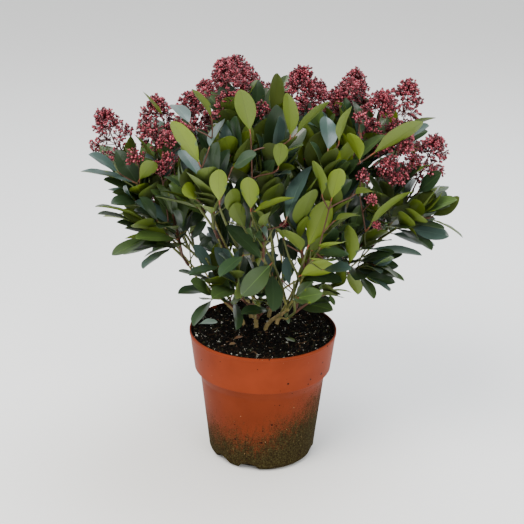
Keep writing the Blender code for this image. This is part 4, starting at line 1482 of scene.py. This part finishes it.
def smooth_line(points, radii, spacing):
    """A limb's line drawn through its points as a smooth curve, with its radii."""
    places, sizes = [], []
    last = len(points) - 1
    for i in range(last):
        start, end = points[i], points[i + 1]
        out = (end - points[i - 1]) * 0.5 if i else end - start
        into = (points[i + 2] - start) * 0.5 if i + 1 < last else end - start
        steps = max(2, round((end - start).length / spacing))
        for k in range(steps):
            places.append(on_curve(start, out, end, into, k / steps))
            sizes.append(radii[i] + (radii[i + 1] - radii[i]) * (k / steps))
    return [*places, points[-1]], [*sizes, radii[-1]]


def scar_places(length, draw):
    """Where the leaf scars lie along a limb, in metres from its foot."""
    scars, reach = [], SCAR_START
    while reach < length:
        scars.append(reach)
        reach += draw.uniform(*SCAR_SPACING)
    return scars


def bark_limb(bm, points, radii, key, relief, sides, spacing):
    """Adds one limb with ridged bark, leaf scars round it and closed ends."""
    draw = random.Random(key)
    places, sizes = smooth_line(points, radii, spacing)
    scars = scar_places(sum((b - a).length for a, b in zip(places, places[1:])), draw)
    seed = Vector((draw.uniform(0, 50), draw.uniform(0, 50), draw.uniform(0, 50)))
    level = across((places[1] - places[0]).normalized())[0]
    rings, run = [], 0.0
    for i, (place, size) in enumerate(zip(places, sizes)):
        heading = (places[min(i + 1, len(places) - 1)] - places[max(i - 1, 0)]).normalized()
        level = (level - heading * level.dot(heading)).normalized()
        rise = heading.cross(level)
        if i:
            run += (place - places[i - 1]).length
        scar = max(math.exp(-(((run - at) / SCAR_WIDTH) ** 2)) for at in scars)
        ring = []
        for k in range(sides):
            angle = k * math.tau / sides
            out = level * math.cos(angle) + rise * math.sin(angle)
            ridge = noise.noise(seed + Vector((math.cos(angle), math.sin(angle), run * 60)) * 1.7)
            knot = noise.noise(seed + (place + out * size) * 260.0)
            lift = relief * (0.9 * ridge + 0.5 * knot) + SCAR_LIFT * size * scar
            ring.append(bm.verts.new(place + out * (size + lift)))
        rings.append(ring)
    skin(bm, rings)


def joined_limbs(name, limbs, relief, sides, spacing):
    """Several limbs fused into one closed skin, so that no end shows inside another."""
    pieces = bpy.data.collections.new(f"{name}_limbs")
    bpy.context.scene.collection.children.link(pieces)
    objects = []
    for key, points, radii in limbs:
        bm = bmesh.new()
        bark_limb(bm, points, radii, key, relief, sides, spacing)
        objects.append(bpy.data.objects.new(key, mesh_from(key, bm, smooth=False)))
    first, *others = objects
    bpy.context.scene.collection.objects.link(first)
    for obj in others:
        pieces.objects.link(obj)
    joining = {"operand_type": "COLLECTION", "collection": pieces}
    add_modifier(first, "BOOLEAN", operation="UNION", solver="MANIFOLD", **joining)
    mesh = evaluated_mesh(first)
    mesh.name = name
    for obj in others:
        bpy.data.objects.remove(obj)
    bpy.data.collections.remove(pieces)
    mesh.shade_smooth()
    return mesh


def old_bark(look):
    """Old skimmia wood: thin tan bark with grey bloom and green-brown streaks, dull."""
    streaks = (130.0, 5.0, 0.65, (1.0, 1.0, 0.35))
    tones = [(0.28, "#54492a"), (0.46, "#857446"), (0.60, "#a08a58"), (0.78, "#bba67c")]
    grain, relief = (900.0, 3.0, 0.6, (1.0, 1.0, 0.4)), (0.5, 0.0004)
    return grained_finish("tan skimmia bark", look.bark_colour, 0.72, streaks, tones, grain, relief)


def young_bark(look):
    """Young skimmia wood: smooth olive green skin that browns here and there."""
    patches = (60.0, 4.0, 0.6)
    tones = [(0.32, "#5b5a2a"), (0.50, "#7c7a3c"), (0.66, "#8d7b47"), (0.80, "#7a5734")]
    grain, relief = (1100.0, 2.0, 0.6, (1.0, 1.0, 0.4)), (0.35, 0.0003)
    return grained_finish("olive young bark", look.twig_colour, 0.6, patches, tones, grain, relief)


class SKIMMIA_OT_wood(bpy.types.Operator):
    """Make the stems and boughs with the relief of their bark"""

    bl_idname = "skimmia.wood"
    bl_label = "Stems and boughs"

    def execute(self, context):
        look = context.scene.skimmia_wood
        lines = limb_lines()
        stems = {name: line for name, line in lines.items() if name.startswith("stem")}
        boughs = {name: line for name, line in lines.items() if name.startswith("bough")}
        for name, group, material, relief, sides in (
            ("stems_with_bark", stems, old_bark(look), look.bark_relief, 20),
            ("boughs_with_bark", boughs, young_bark(look), look.bark_relief * 0.5, 12),
        ):
            limbs = []
            for key, (points, radii) in group.items():
                points = list(points)
                radii = [radius * LIMB_SLIMNESS for radius in radii]
                if name.startswith("stems"):
                    points[0] = points[0] - UP * STEM_SUNK
                    points[-1] = points[-1] + (points[-1] - points[-2]).normalized() * 0.001
                limbs.append((key, points, radii))
            mesh = joined_limbs(name, limbs, relief, sides, LIMB_RING_SPACING)
            add_piece(name, mesh, [material], "skimmia_bark", *group)
        return {"FINISHED"}


# Twigs and leaves

TWIG_BEND = 0.012
RED_BROWN_SHARE = 0.45
# A twig's relief, its sides and the distance of its rings
TWIG_SKIN = (0.00008, 8, 0.004)


def green_twig_line(twig, key):
    """A twig's line with a slight bend, its ends kept."""
    draw = random.Random(key)
    axis = twig.end - twig.start
    bend = ring_direction(axis.normalized(), draw.uniform(0, math.tau)) * axis.length * TWIG_BEND
    middle = (twig.start + twig.end) / 2 + bend
    radii = [twig.first_radius, (twig.first_radius + twig.last_radius) / 2, twig.last_radius]
    return [twig.start, middle, twig.end], radii


BUD_PROFILE = ((0.0, 0.62), (0.7, 1.0), (1.5, 0.95), (2.3, 0.6), (2.9, 0.12))


def add_tip_bud(bm, tip, axis, size):
    """A pointed resting bud at the end of a twig."""
    profile = [(distance * size, radius * size) for distance, radius in BUD_PROFILE]
    add_turned(bm, tip - axis * size * 0.3, axis, profile, 8)


class SKIMMIA_OT_twigs(bpy.types.Operator):
    """Make the young twigs that carry the leaves, with their resting buds"""

    bl_idname = "skimmia.twigs"
    bl_label = "Twigs"

    def execute(self, context):
        masses, front = grown_crown(context.scene.skimmia_leaves.more_leaves)
        green, red_brown = bmesh.new(), bmesh.new()
        for mass in masses:
            for i, twig in enumerate(mass.twigs):
                key = f"{mass.bough.name} twig {i}"
                bm = red_brown if random.Random(key).random() < RED_BROWN_SHARE else green
                bark_limb(bm, *green_twig_line(twig, key), key, *TWIG_SKIN)
                if i:
                    axis = (twig.end - twig.start).normalized()
                    add_tip_bud(bm, twig.end, axis, twig.last_radius * 1.3)
        for i, (points, radii) in enumerate(front.limbs):
            young = i >= len(SHOWN_TWIGS) and points[-1].z > YOUNG_TWIG_HEIGHT
            bark_limb(red_brown if young else green, points, radii, f"front twig {i}", *TWIG_SKIN)
        for name, bm, material in (
            ("green_twigs", green, plain_finish("green twig skin", "#4d5324", 0.6)),
            ("red_brown_twigs", red_brown, plain_finish("red brown twig skin", "#4a2a1b", 0.6)),
        ):
            add_piece(name, mesh_from(name, bm), [material], "skimmia_bark")
        return {"FINISHED"}


LeafForm = namedtuple("LeafForm", "arch tip_bend wave width twist blunt")
LEAF_FORMS = [
    LeafForm(0.030, 0.00, 0.005, 1.00, 0.05, 1.00),
    LeafForm(0.045, 0.03, 0.008, 0.93, -0.12, 0.92),
    LeafForm(0.015, -0.01, 0.004, 1.04, 0.08, 1.06),
    LeafForm(0.036, 0.05, 0.009, 0.88, 0.16, 0.90),
    LeafForm(0.050, 0.02, 0.007, 0.97, -0.06, 1.00),
    LeafForm(0.022, 0.03, 0.010, 1.00, -0.18, 0.96),
]

# Half the blade's width at shares of its length, as a share of its greatest half width
LEAF_OUTLINE = [
    (0.000, 0.050),
    (0.050, 0.050),
    (0.095, 0.085),
    (0.160, 0.265),
    (0.250, 0.540),
    (0.360, 0.800),
    (0.480, 0.965),
    (0.600, 1.000),
    (0.710, 0.945),
    (0.810, 0.805),
    (0.890, 0.605),
    (0.950, 0.375),
    (0.985, 0.165),
    (1.000, 0.030),
]
LEAF_CUPPING = 0.038
LEAF_SHARP_ANGLE = math.radians(60)
UPPER, UNDER, UPPER_RIB, UNDER_RIB, STALK = range(5)


def leaf_row(t, share, form):
    """A leaf's upper and under places at t of its length, from one edge to the other."""
    if t > 0.6:
        share = share ** (1 / form.blunt)
    width = LEAF_SLIMNESS / 2 * form.width * share
    rib = min(0.85, (0.0068 - 0.0045 * t) / width)
    thick = 0.0075 + 0.014 * max(0.0, 1 - t / 0.14)
    arch = form.arch * 4 * t * (1 - t) - form.tip_bend * max(0.0, t - 0.55) ** 2 * 4
    turn = form.twist * t
    top, under = [], []
    for u in (-1.0, -0.55, -rib, rib, 0.55, 1.0):
        fold = LEAF_CUPPING * share * u * u
        ripple = form.wave * u * u * math.sin(t * 15.0 + (2.1 if u > 0 else 0.0)) * share
        lift = arch + fold + ripple
        x = u * width
        x, z = x * math.cos(turn) - lift * math.sin(turn), x * math.sin(turn) + lift
        edge = abs(u) > 0.99
        middle = abs(u) < 0.5 and share > 0.1
        top.append((x, t, z if edge else z + thick / 2 - (0.0035 if middle else 0.0)))
        if not edge:
            under.append((x, t, z - thick / 2 - (0.0075 * (1.1 - t) if middle else 0.0)))
    return top + under


def leaf_shape(name, form):
    """A leaf one unit long: a thin closed blade, grooved above and ribbed beneath its midrib."""
    rows = [leaf_row(t, share, form) for t, share in LEAF_OUTLINE]
    size = len(rows[0])
    under = [0, 6, 7, 8, 9, 5]
    faces, parts = [], []
    for i in range(len(rows) - 1):
        a, b = i * size, (i + 1) * size
        stalk = LEAF_OUTLINE[i + 1][0] < 0.11
        for k in range(5):
            faces.append((a + k, a + k + 1, b + k + 1, b + k))
            parts.append(STALK if stalk else UPPER_RIB if k == 2 else UPPER)
        for k in range(5):
            first, second = under[k], under[k + 1]
            faces.append((a + second, a + first, b + first, b + second))
            parts.append(STALK if stalk else UNDER_RIB if k == 2 else UNDER)
    ring = [0, 1, 2, 3, 4, 5, 9, 8, 7, 6]
    last = (len(rows) - 1) * size
    faces += [tuple(ring[::-1]), tuple(last + k for k in ring)]
    parts += [STALK, UPPER]
    mesh = bpy.data.meshes.new(name)
    mesh.from_pydata([place for row in rows for place in row], [], faces)
    mesh.shade_smooth()
    layer = mesh.attributes.new("leaf_part", "INT", "FACE")
    layer.data.foreach_set("value", parts)
    bm = bmesh.new()
    bm.from_mesh(mesh)
    bmesh.ops.recalc_face_normals(bm, faces=bm.faces)
    bm.to_mesh(mesh)
    bm.free()
    mesh.set_sharp_from_angle(angle=LEAF_SHARP_ANGLE)
    return mesh


def leaf_tree(finishes):
    """A tree that sets a leaf on every point, by its direction, its upper side and its length."""
    tree, given, result = new_tree(
        "leaves_on_twigs",
        ("Leaf shapes", "NodeSocketCollection", None),
        ("Length factor", "NodeSocketFloat", 1.0),
    )
    apart = {"Separate_Children": True, "Reset_Children": True}
    shapes = add_node(tree, "GeometryNodeCollectionInfo", given.outputs["Leaf shapes"], **apart)
    direction = add_node(tree, ATTRIBUTE, "direction", data_type="FLOAT_VECTOR")
    face_up = add_node(tree, ATTRIBUTE, "face_up", data_type="FLOAT_VECTOR")
    length = add_node(tree, ATTRIBUTE, "length", data_type="FLOAT")
    form = add_node(tree, ATTRIBUTE, "form", data_type="INT")
    part = add_node(tree, ATTRIBUTE, "leaf_part", data_type="INT")
    axes = {"primary_axis": "Y", "secondary_axis": "Z"}
    turned = add_node(tree, "FunctionNodeAxesToRotation", direction, face_up, **axes)
    size = add_node(tree, MATH, length, given.outputs["Length factor"], operation="MULTIPLY")
    held = {"Instance": shapes, "Pick_Instance": True, "Instance_Index": form, "Rotation": turned}
    placed = add_node(tree, "GeometryNodeInstanceOnPoints", given, Scale=size, **held)
    last = add_node(tree, "GeometryNodeRealizeInstances", placed)
    for number, material in enumerate(finishes):
        chosen = add_node(tree, COMPARE, data_type="INT", operation="EQUAL", A=part, B=number)
        last = add_node(tree, "GeometryNodeSetMaterial", last, Selection=chosen, Material=material)
    feed(tree, result, last)
    return tree


LeafTone = namedtuple("LeafTone", "name share upper under upper_rib under_rib stalk")
LEAF_TONES = [
    LeafTone("deep", 0.24, "#22331d", "#3d4a12", "#34462a", "#323c10", "#5e3f26"),
    LeafTone("dark", 0.25, "#283c25", "#4a5a12", "#42582f", "#3c480e", "#6b4028"),
    LeafTone("fresh", 0.22, "#364826", "#526310", "#547231", "#46530c", "#7c4529"),
    LeafTone("bright", 0.12, "#42572a", "#61730d", "#5f7d36", "#52620c", "#8a4a2a"),
    # This tone's bluish upper side and upper midrib are a painted reflection of the sky
    LeafTone("bloomed", 0.17, "#3c4f49", "#4c5c1a", "#4f6457", "#404c16", "#6b4730"),
]


def leaf_finishes(tone):
    """Leathery evergreen leaf: a waxy upper side that mirrors the sky, a dull paler underside."""
    return [
        plain_finish(f"{tone.name} leaf {part}", colour, roughness)
        for part, colour, roughness in (
            ("upper side", tone.upper, 0.30),
            ("underside", tone.under, 0.55),
            ("upper midrib", tone.upper_rib, 0.4),
            ("lower midrib", tone.under_rib, 0.5),
            ("stalk", tone.stalk, 0.5),
        )
    ]


LITTER_LIFT = 0.0028
# Fallen leaves and dry scraps on the compost: where and which way in millimetres, length, form
FALLEN_LEAVES = [
    ("fallen_leaf", (-84, 14), (-62, 27), 0.028, 1, "#7d8f84", "#66766a"),
    ("dry_scrap", (-38, -18), (-27, -11), 0.015, 3, "#6b4a30", "#5a3c26"),
    ("second_dry_scrap", (-43, -40), (-36, -33), 0.012, 5, "#6b5236", "#54402a"),
    ("green_scrap", (28, -8), (38, -20), 0.020, 2, "#3a4a18", "#44501c"),
]


def fallen_leaf(name, start, end, length, form):
    """A leaf that lies on the compost, from its foot towards its tip."""
    foot, tip = (Vector((x * MM, y * MM, compost_height(x * MM, y * MM))) for x, y in (start, end))
    along = (tip - foot).normalized()
    up = (Vector((0.12, -0.25, 1.0)) - along * along.z).normalized()
    side = along.cross(up).normalized()
    up = side.cross(along)
    turn = Matrix((side, along, up)).transposed().to_4x4()
    mesh = leaf_shape(name, LEAF_FORMS[form])
    parts = [part.value for part in mesh.attributes["leaf_part"].data]
    mesh.polygons.foreach_set("material_index", parts)
    place = Matrix.Translation(foot + UP * LITTER_LIFT)
    mesh.transform(place @ turn @ Matrix.Scale(length, 4))
    return mesh


class SKIMMIA_OT_litter(bpy.types.Operator):
    """Lay the fallen leaf and the dry scraps on the compost"""

    bl_idname = "skimmia.litter"
    bl_label = "Litter"

    def execute(self, context):
        for name, start, end, length, form, upper, under in FALLEN_LEAVES:
            tone = LeafTone(name.replace("_", " "), 0.0, upper, under, upper, under, under)
            mesh = fallen_leaf(name, start, end, length, form)
            add_piece(name, mesh, leaf_finishes(tone), "skimmia_leaf")
        return {"FINISHED"}


class SKIMMIA_OT_leaves(bpy.types.Operator):
    """Set the leaves on the twigs, in one piece for each tone of green"""

    bl_idname = "skimmia.leaves"
    bl_label = "Leaves"

    @staticmethod
    def dealt_leaves(more_leaves):
        """Every leaf with the form that it takes, dealt out by tone."""
        dealt = {tone.name: [] for tone in LEAF_TONES}
        weights = [tone.share for tone in LEAF_TONES]
        masses, front = grown_crown(more_leaves)
        draw = random.Random("front leaf forms")
        for leaf, tone in front.leaves:
            dealt[tone].append((*leaf, draw.randrange(len(LEAF_FORMS))))
        for mass in masses:
            draw = random.Random(f"{mass.bough.name} tones")
            for leaf in mass.leaves:
                tone = draw.choices(LEAF_TONES, weights)[0]
                dealt[tone.name].append((*leaf, draw.randrange(len(LEAF_FORMS))))
        return dealt

    def execute(self, context):
        settings = context.scene.skimmia_leaves
        shapes = bpy.data.collections.new("leaf_shapes")
        context.scene.collection.children.link(shapes)
        for i, form in enumerate(LEAF_FORMS):
            mesh = leaf_shape(f"leaf_shape_{i}", form)
            shapes.objects.link(bpy.data.objects.new(f"leaf_shape_{i}", mesh))
        inputs = {"Leaf shapes": shapes, "Length factor": settings.length_factor}
        dealt = self.dealt_leaves(settings.more_leaves)
        nodes = [f"mass_{bough.name}" for bough in BOUGHS]
        attributes = ("direction", "face_up", "length", "form")
        for tone in LEAF_TONES:
            name = f"{tone.name}_leaves"
            points = points_mesh(f"{tone.name}_leaf_points", attributes, dealt[tone.name])
            mesh = grown_by_nodes(name, points, leaf_tree(leaf_finishes(tone)), inputs)
            add_piece(name, mesh, [], "skimmia_leaf", *nodes)
            nodes = []
        for obj in list(shapes.objects):
            bpy.data.objects.remove(obj)
        bpy.data.collections.remove(shapes)
        return {"FINISHED"}


# Bud heads

LOBE_BUDS = (34, 42, 44, 42)
LOBE_RADII = (0.0078, 0.0086, 0.0088, 0.0084)
LOBE_SPREAD = (1.08, 1.14, 1.22, 1.30)
LOBE_DROP = (0.0, 0.0, 0.002, 0.006)
TOP_LOBE_BUDS = 40
TOP_LOBE_RADIUS = 0.0088
BUD_KNOTS = 8
KNOT_PULL = 0.42
SMALL_CLUSTER_HEIGHT = 0.38
HEAD_STALK_GAP = 0.008
LOBE_STALK_DROP = 0.009
# Radius and sides of the stalks below a head, up through it, to a lobe and to a bud
MAIN_STALK = (0.0012, 7)
HEAD_STALK = (0.0009, 6)
LOBE_STALK = (0.00055, 5)
BUD_STALK = (0.0003, 3)
# Smallest and largest bud as a share of the bud size
BUD_SIZES = (0.75, 1.2)
BUD_TONES = [("wine", 0.38, "#461219"), ("crimson", 0.42, "#7a2431"), ("rose", 0.20, "#a64854")]


def head_lobes(head):
    """The rounded lobes of a bud head, each where the solid's outstanding lobe is."""
    for tip, ring in head.lobes:
        rise = (tip - head.base).dot(head.upright)
        middle = head.base + head.upright * rise
        outward = (tip - middle).normalized()
        reach = (tip - middle).length * LOBE_SPREAD[ring]
        radius = min(LOBE_RADII[ring], reach * 0.66)
        lean = (outward + head.upright * 0.45).normalized()
        middle -= head.upright * LOBE_DROP[ring]
        yield Lobe(middle + outward * (reach - radius * 0.9), lean, radius, LOBE_BUDS[ring])
    top = head.base + head.upright * (HEAD_LENGTH - TOP_LOBE_RADIUS * 1.05)
    yield Lobe(top, head.upright, TOP_LOBE_RADIUS, TOP_LOBE_BUDS)


def small_lobes(tip, axis, draw, size):
    """The few lobes of a small bud cluster that nestles among the leaves at a twig's tip."""
    upright = (axis + UP * 0.3).normalized()
    base = tip + upright * 0.004 * size
    yield Lobe(base + upright * 0.010 * size, upright, 0.0068 * size, round(17 * size**2) + 4)
    for k in range(4):
        out = ring_direction(upright, k * math.tau / 4 + draw.uniform(-0.3, 0.3))
        centre = base + (out * 0.0075 + upright * draw.uniform(0.002, 0.006)) * size
        yield Lobe(centre, (out + upright).normalized(), 0.0055 * size, round(11 * size**2) + 3)


def spread_round(outward, first, count):
    """Directions spread evenly over the outer side of a ball."""
    for i in range(count):
        height = 1 - 1.45 * (i + 0.5) / count
        ring = math.sqrt(max(0.0, 1 - height * height))
        round_it = ring_direction(outward, first + i * GOLDEN_ANGLE) * ring
        yield (outward * height + round_it).normalized()


def lobe_buds(lobe, draw):
    """Where a lobe's buds sit and which way they look, drawn together into small knots."""
    knots = list(spread_round(lobe.outward, draw.uniform(0, math.tau), BUD_KNOTS))
    for out in spread_round(lobe.outward, draw.uniform(0, math.tau), lobe.buds):
        knot = max(knots, key=out.dot)
        drawn_in = out.lerp(knot, KNOT_PULL).normalized()
        yield lobe.centre + drawn_in * lobe.radius * draw.uniform(0.72, 1.06), out


def bud_tree(material):
    """A tree that sets a small ovoid bud on every point, along its own axis."""
    tree, given, result = new_tree("buds_on_stalks", ("Bud size", "NodeSocketFloat", 0.0026))
    ball = add_node(tree, "GeometryNodeMeshUVSphere", Segments=6, Rings=3, Radius=0.52)
    ovoid = add_node(tree, "GeometryNodeTransform", ball, Scale=(0.9, 0.9, 1.15))
    smooth = add_node(tree, "GeometryNodeSetShadeSmooth", ovoid)
    axis = add_node(tree, ATTRIBUTE, "axis", data_type="FLOAT_VECTOR")
    turned = add_node(tree, "FunctionNodeAlignRotationToVector", axis="Z", Vector=axis)
    size = add_node(tree, ATTRIBUTE, "size", data_type="FLOAT")
    size = add_node(tree, MATH, size, given.outputs["Bud size"], operation="MULTIPLY")
    held = {"Instance": smooth, "Rotation": turned, "Scale": size}
    placed = add_node(tree, "GeometryNodeInstanceOnPoints", given, **held)
    real = add_node(tree, "GeometryNodeRealizeInstances", placed)
    feed(tree, result, add_node(tree, "GeometryNodeSetMaterial", real, Material=material))
    return tree


def add_stalk(bm, start, end, radius, sides):
    """Adds a plain thin stalk between two places."""
    length = (end - start).length
    profile = ((0.0, radius), (length, radius * 0.8))
    add_turned(bm, start, (end - start).normalized(), profile, sides)


class SKIMMIA_OT_blossom(bpy.types.Operator):
    """Make the bud heads: stalks, and the buds in one piece for each tone of red"""

    bl_idname = "skimmia.blossom"
    bl_label = "Bud heads"

    def add_buds(self, lobes, draw):
        """Stalks to the buds of every lobe, from its foot, and the buds dealt out by tone."""
        for lobe, foot in lobes:
            hub = lobe.centre - lobe.outward * lobe.radius * 0.55
            add_stalk(self.stalks, foot, hub, *LOBE_STALK)
            for place, out in lobe_buds(lobe, draw):
                add_stalk(self.stalks, hub, place, *BUD_STALK)
                tone = draw.choices(BUD_TONES, [share for _, share, _ in BUD_TONES])[0]
                self.buds[tone[0]].append((place, out, draw.uniform(*BUD_SIZES)))

    def add_heads(self, mass, small_clusters):
        """The bud heads of a mass, and small clusters at some of its leafy tips."""
        draw = random.Random(f"{mass.bough.name} buds")
        lobes = []
        for head in mass.heads:
            top = head.base + head.upright * (HEAD_LENGTH - HEAD_STALK_GAP)
            add_stalk(self.stalks, head.root, head.base, *MAIN_STALK)
            add_stalk(self.stalks, head.base - head.upright * 0.0005, top, *HEAD_STALK)
            for lobe in head_lobes(head):
                rise = (lobe.centre - head.base).dot(head.upright)
                lobes.append((lobe, head.base + head.upright * max(0.0, rise - LOBE_STALK_DROP)))
        for tip, axis in mass.bare_tips:
            if tip.z > SMALL_CLUSTER_HEIGHT and draw.random() < small_clusters:
                lobes += [(lobe, tip) for lobe in small_lobes(tip, axis, draw, 0.8)]
        self.add_buds(lobes, draw)

    def execute(self, context):
        settings = context.scene.skimmia_blossom
        self.stalks = bmesh.new()
        self.buds = {name: [] for name, _, _ in BUD_TONES}
        masses, front = grown_crown(context.scene.skimmia_leaves.more_leaves)
        for mass in masses:
            self.add_heads(mass, settings.small_clusters)
        draw = random.Random("front buds")
        lobes = []
        for place, upright, size in front.clusters:
            lobes += [(lobe, place) for lobe in small_lobes(place, upright, draw, size)]
        self.add_buds(lobes, draw)
        for tone, _, colour in BUD_TONES:
            name = f"{tone}_buds"
            material = plain_finish(f"{tone} bud skin", colour, 0.42)
            points = points_mesh(f"{tone}_bud_points", ("axis", "size"), self.buds[tone])
            inputs = {"Bud size": settings.bud_size}
            mesh = grown_by_nodes(name, points, bud_tree(material), inputs)
            add_piece(name, mesh, [], "skimmia_blossom")
        mesh = mesh_from("bud_stalks", self.stalks)
        material = plain_finish("dark red flower stalk", "#5e1f22", 0.5)
        add_piece("bud_stalks", mesh, [material], "skimmia_blossom")
        return {"FINISHED"}


# Stage

FLOOR_RADIUS = 12.0


def add_area_light(name, place, aim, size, power, colour):
    light = bpy.data.lights.new(name, "AREA")
    light.shape = "DISK"
    light.size = size
    light.energy = power
    light.color = linear(colour)[:3]
    lamp = put_object(name, light)
    lamp.location = place
    lamp.rotation_euler = (Vector(aim) - Vector(place)).to_track_quat("-Z", "Y").to_euler()


def make_camera():
    """The photograph's view: a little above the pot's rim, with a slight roll."""
    data = bpy.data.cameras.new("camera")
    data.sensor_width = SENSOR_WIDTH
    data.lens = CAMERA_LENS
    camera = put_object("camera", data)
    turn = Matrix(photo_axes()).transposed().to_4x4()
    camera.matrix_world = Matrix.Translation(PHOTO_EYE) @ turn
    bpy.context.scene.camera = camera


class SKIMMIA_OT_stage(bpy.types.Operator):
    """Set the pale floor, the soft studio light and the camera"""

    bl_idname = "skimmia.stage"
    bl_label = "Stage"

    def execute(self, context):
        settings = context.scene.skimmia_stage
        bm = bmesh.new()
        bmesh.ops.create_circle(bm, cap_ends=True, segments=64, radius=FLOOR_RADIUS)
        mesh = mesh_from("studio_floor", bm, smooth=False)
        floor = put_object("studio_floor", mesh)
        mesh.materials.append(finish_material("pale studio floor", settings.floor_colour, 0.9)[0])
        world = bpy.data.worlds.new("soft studio")
        world.use_nodes = True
        sky = world.node_tree.nodes["Background"]
        feed(world.node_tree, sky, Color=linear("#f3f5f7"), Strength=settings.fill_strength)
        context.scene.world = world
        power = settings.key_power
        add_area_light("key", (-0.9, -1.1, 2.1), (0, 0, 0.25), 1.4, power, "#fffaf2")
        add_area_light("sky", (0.5, 0.7, 2.4), (0, 0, 0.3), 1.8, power * 0.8, "#eaf2ff")
        add_area_light("front", (1.3, -1.8, 0.9), (0, 0, 0.2), 1.2, power * 0.35, "#ffffff")
        make_camera()
        return {"FINISHED"}


# Settings, panel and registration

def colour_setting(name, description, hex_colour):
    colour = {"subtype": "COLOR", "size": 4, "min": 0.0, "max": 1.0, "default": linear(hex_colour)}
    return FloatVectorProperty(name=name, description=description, **colour)


def length_setting(name, description, least, most, default):
    limits = {"subtype": "DISTANCE", "unit": "LENGTH", "min": least, "max": most}
    return FloatProperty(name=name, description=description, default=default, **limits)


def amount_setting(name, description, default, **limits):
    return FloatProperty(name=name, description=description, default=default, **{"min": 0.0, **limits})


class SkimmiaPotSettings(bpy.types.PropertyGroup):
    pot_colour: colour_setting("Pot colour", "Plain colour of the pot's plastic", "#a74a29")
    algae_height: length_setting(
        "Algae height", "How high the green film reaches up the middle of the pot", 0.0, 0.17, 0.066
    )


class SkimmiaCompostSettings(bpy.types.PropertyGroup):
    peat_colour: colour_setting("Peat colour", "Plain colour of the moist peat", "#16130f")
    crumbs: amount_setting("Crumbs", "Peat crumbs a square metre", 90000.0)
    perlite: amount_setting("Perlite", "White grains a square metre", 16000.0)
    fibres: amount_setting("Fibres", "Root fibres a square metre", 3500.0)


class SkimmiaWoodSettings(bpy.types.PropertyGroup):
    bark_colour: colour_setting("Bark colour", "Plain colour of the old wood", "#907c52")
    twig_colour: colour_setting("Young wood colour", "Plain colour of the young wood", "#7c7a3c")
    bark_relief: length_setting(
        "Bark relief", "Height of the ridges of the old bark", 0.0, 0.002, 0.00035
    )


class SkimmiaLeafSettings(bpy.types.PropertyGroup):
    length_factor: amount_setting(
        "Leaf length factor",
        "Length of every leaf as a share of the length that it grew to",
        1.0,
        min=0.5,
        max=1.2,
    )
    more_leaves: IntProperty(
        name="More leaves",
        description="Smaller leaves tried on each shoot between the first ones",
        min=0,
        max=20,
        default=7,
    )


class SkimmiaBlossomSettings(bpy.types.PropertyGroup):
    bud_size: length_setting("Bud size", "Middle diameter of a closed flower bud", 0.001, 0.008, 0.0026)
    small_clusters: amount_setting(
        "Small clusters",
        "Share of the leafy shoots that end in a small bud cluster",
        0.3,
        max=1.0,
        subtype="FACTOR",
    )


class SkimmiaStageSettings(bpy.types.PropertyGroup):
    floor_colour: colour_setting("Floor colour", "Colour of the studio floor", "#efeeeb")
    key_power: amount_setting("Key light", "Power of the key light", 66.0, subtype="POWER")
    fill_strength: amount_setting("Fill light", "Strength of the even light from all round", 1.3)


class SKIMMIA_PT_panel(bpy.types.Panel):
    bl_idname = "SKIMMIA_PT_panel"
    bl_label = "Potted Skimmia"
    bl_space_type = "VIEW_3D"
    bl_region_type = "UI"
    bl_category = "Skimmia"

    def draw(self, context):
        for group, operators in PANEL_ROWS:
            settings = getattr(context.scene, group)
            box = self.layout.box()
            for name in settings.__annotations__:
                box.prop(settings, name)
            for operator in operators:
                box.operator(operator.bl_idname)


SETTINGS = {
    "skimmia_pot": SkimmiaPotSettings,
    "skimmia_compost": SkimmiaCompostSettings,
    "skimmia_wood": SkimmiaWoodSettings,
    "skimmia_leaves": SkimmiaLeafSettings,
    "skimmia_blossom": SkimmiaBlossomSettings,
    "skimmia_stage": SkimmiaStageSettings,
}
PANEL_ROWS = [
    ("skimmia_pot", [SKIMMIA_OT_pot]),
    ("skimmia_compost", [SKIMMIA_OT_compost]),
    ("skimmia_wood", [SKIMMIA_OT_wood]),
    ("skimmia_leaves", [SKIMMIA_OT_twigs, SKIMMIA_OT_leaves, SKIMMIA_OT_litter]),
    ("skimmia_blossom", [SKIMMIA_OT_blossom]),
    ("skimmia_stage", [SKIMMIA_OT_stage]),
]
OPERATORS = [operator for _, operators in PANEL_ROWS for operator in operators]
CLASSES = [*SETTINGS.values(), *OPERATORS, SKIMMIA_PT_panel]


def register():
    for cls in CLASSES:
        bpy.utils.register_class(cls)
    for name, group in SETTINGS.items():
        setattr(bpy.types.Scene, name, PointerProperty(type=group))


def unregister():
    for name in SETTINGS:
        delattr(bpy.types.Scene, name)
    for cls in reversed(CLASSES):
        bpy.utils.unregister_class(cls)


def main():
    register()
    bpy.ops.skimmia.pot()
    bpy.ops.skimmia.compost()
    bpy.ops.skimmia.wood()
    bpy.ops.skimmia.twigs()
    bpy.ops.skimmia.leaves()
    bpy.ops.skimmia.litter()
    bpy.ops.skimmia.blossom()
    bpy.ops.skimmia.stage()


if __name__ == "__main__":
    main()
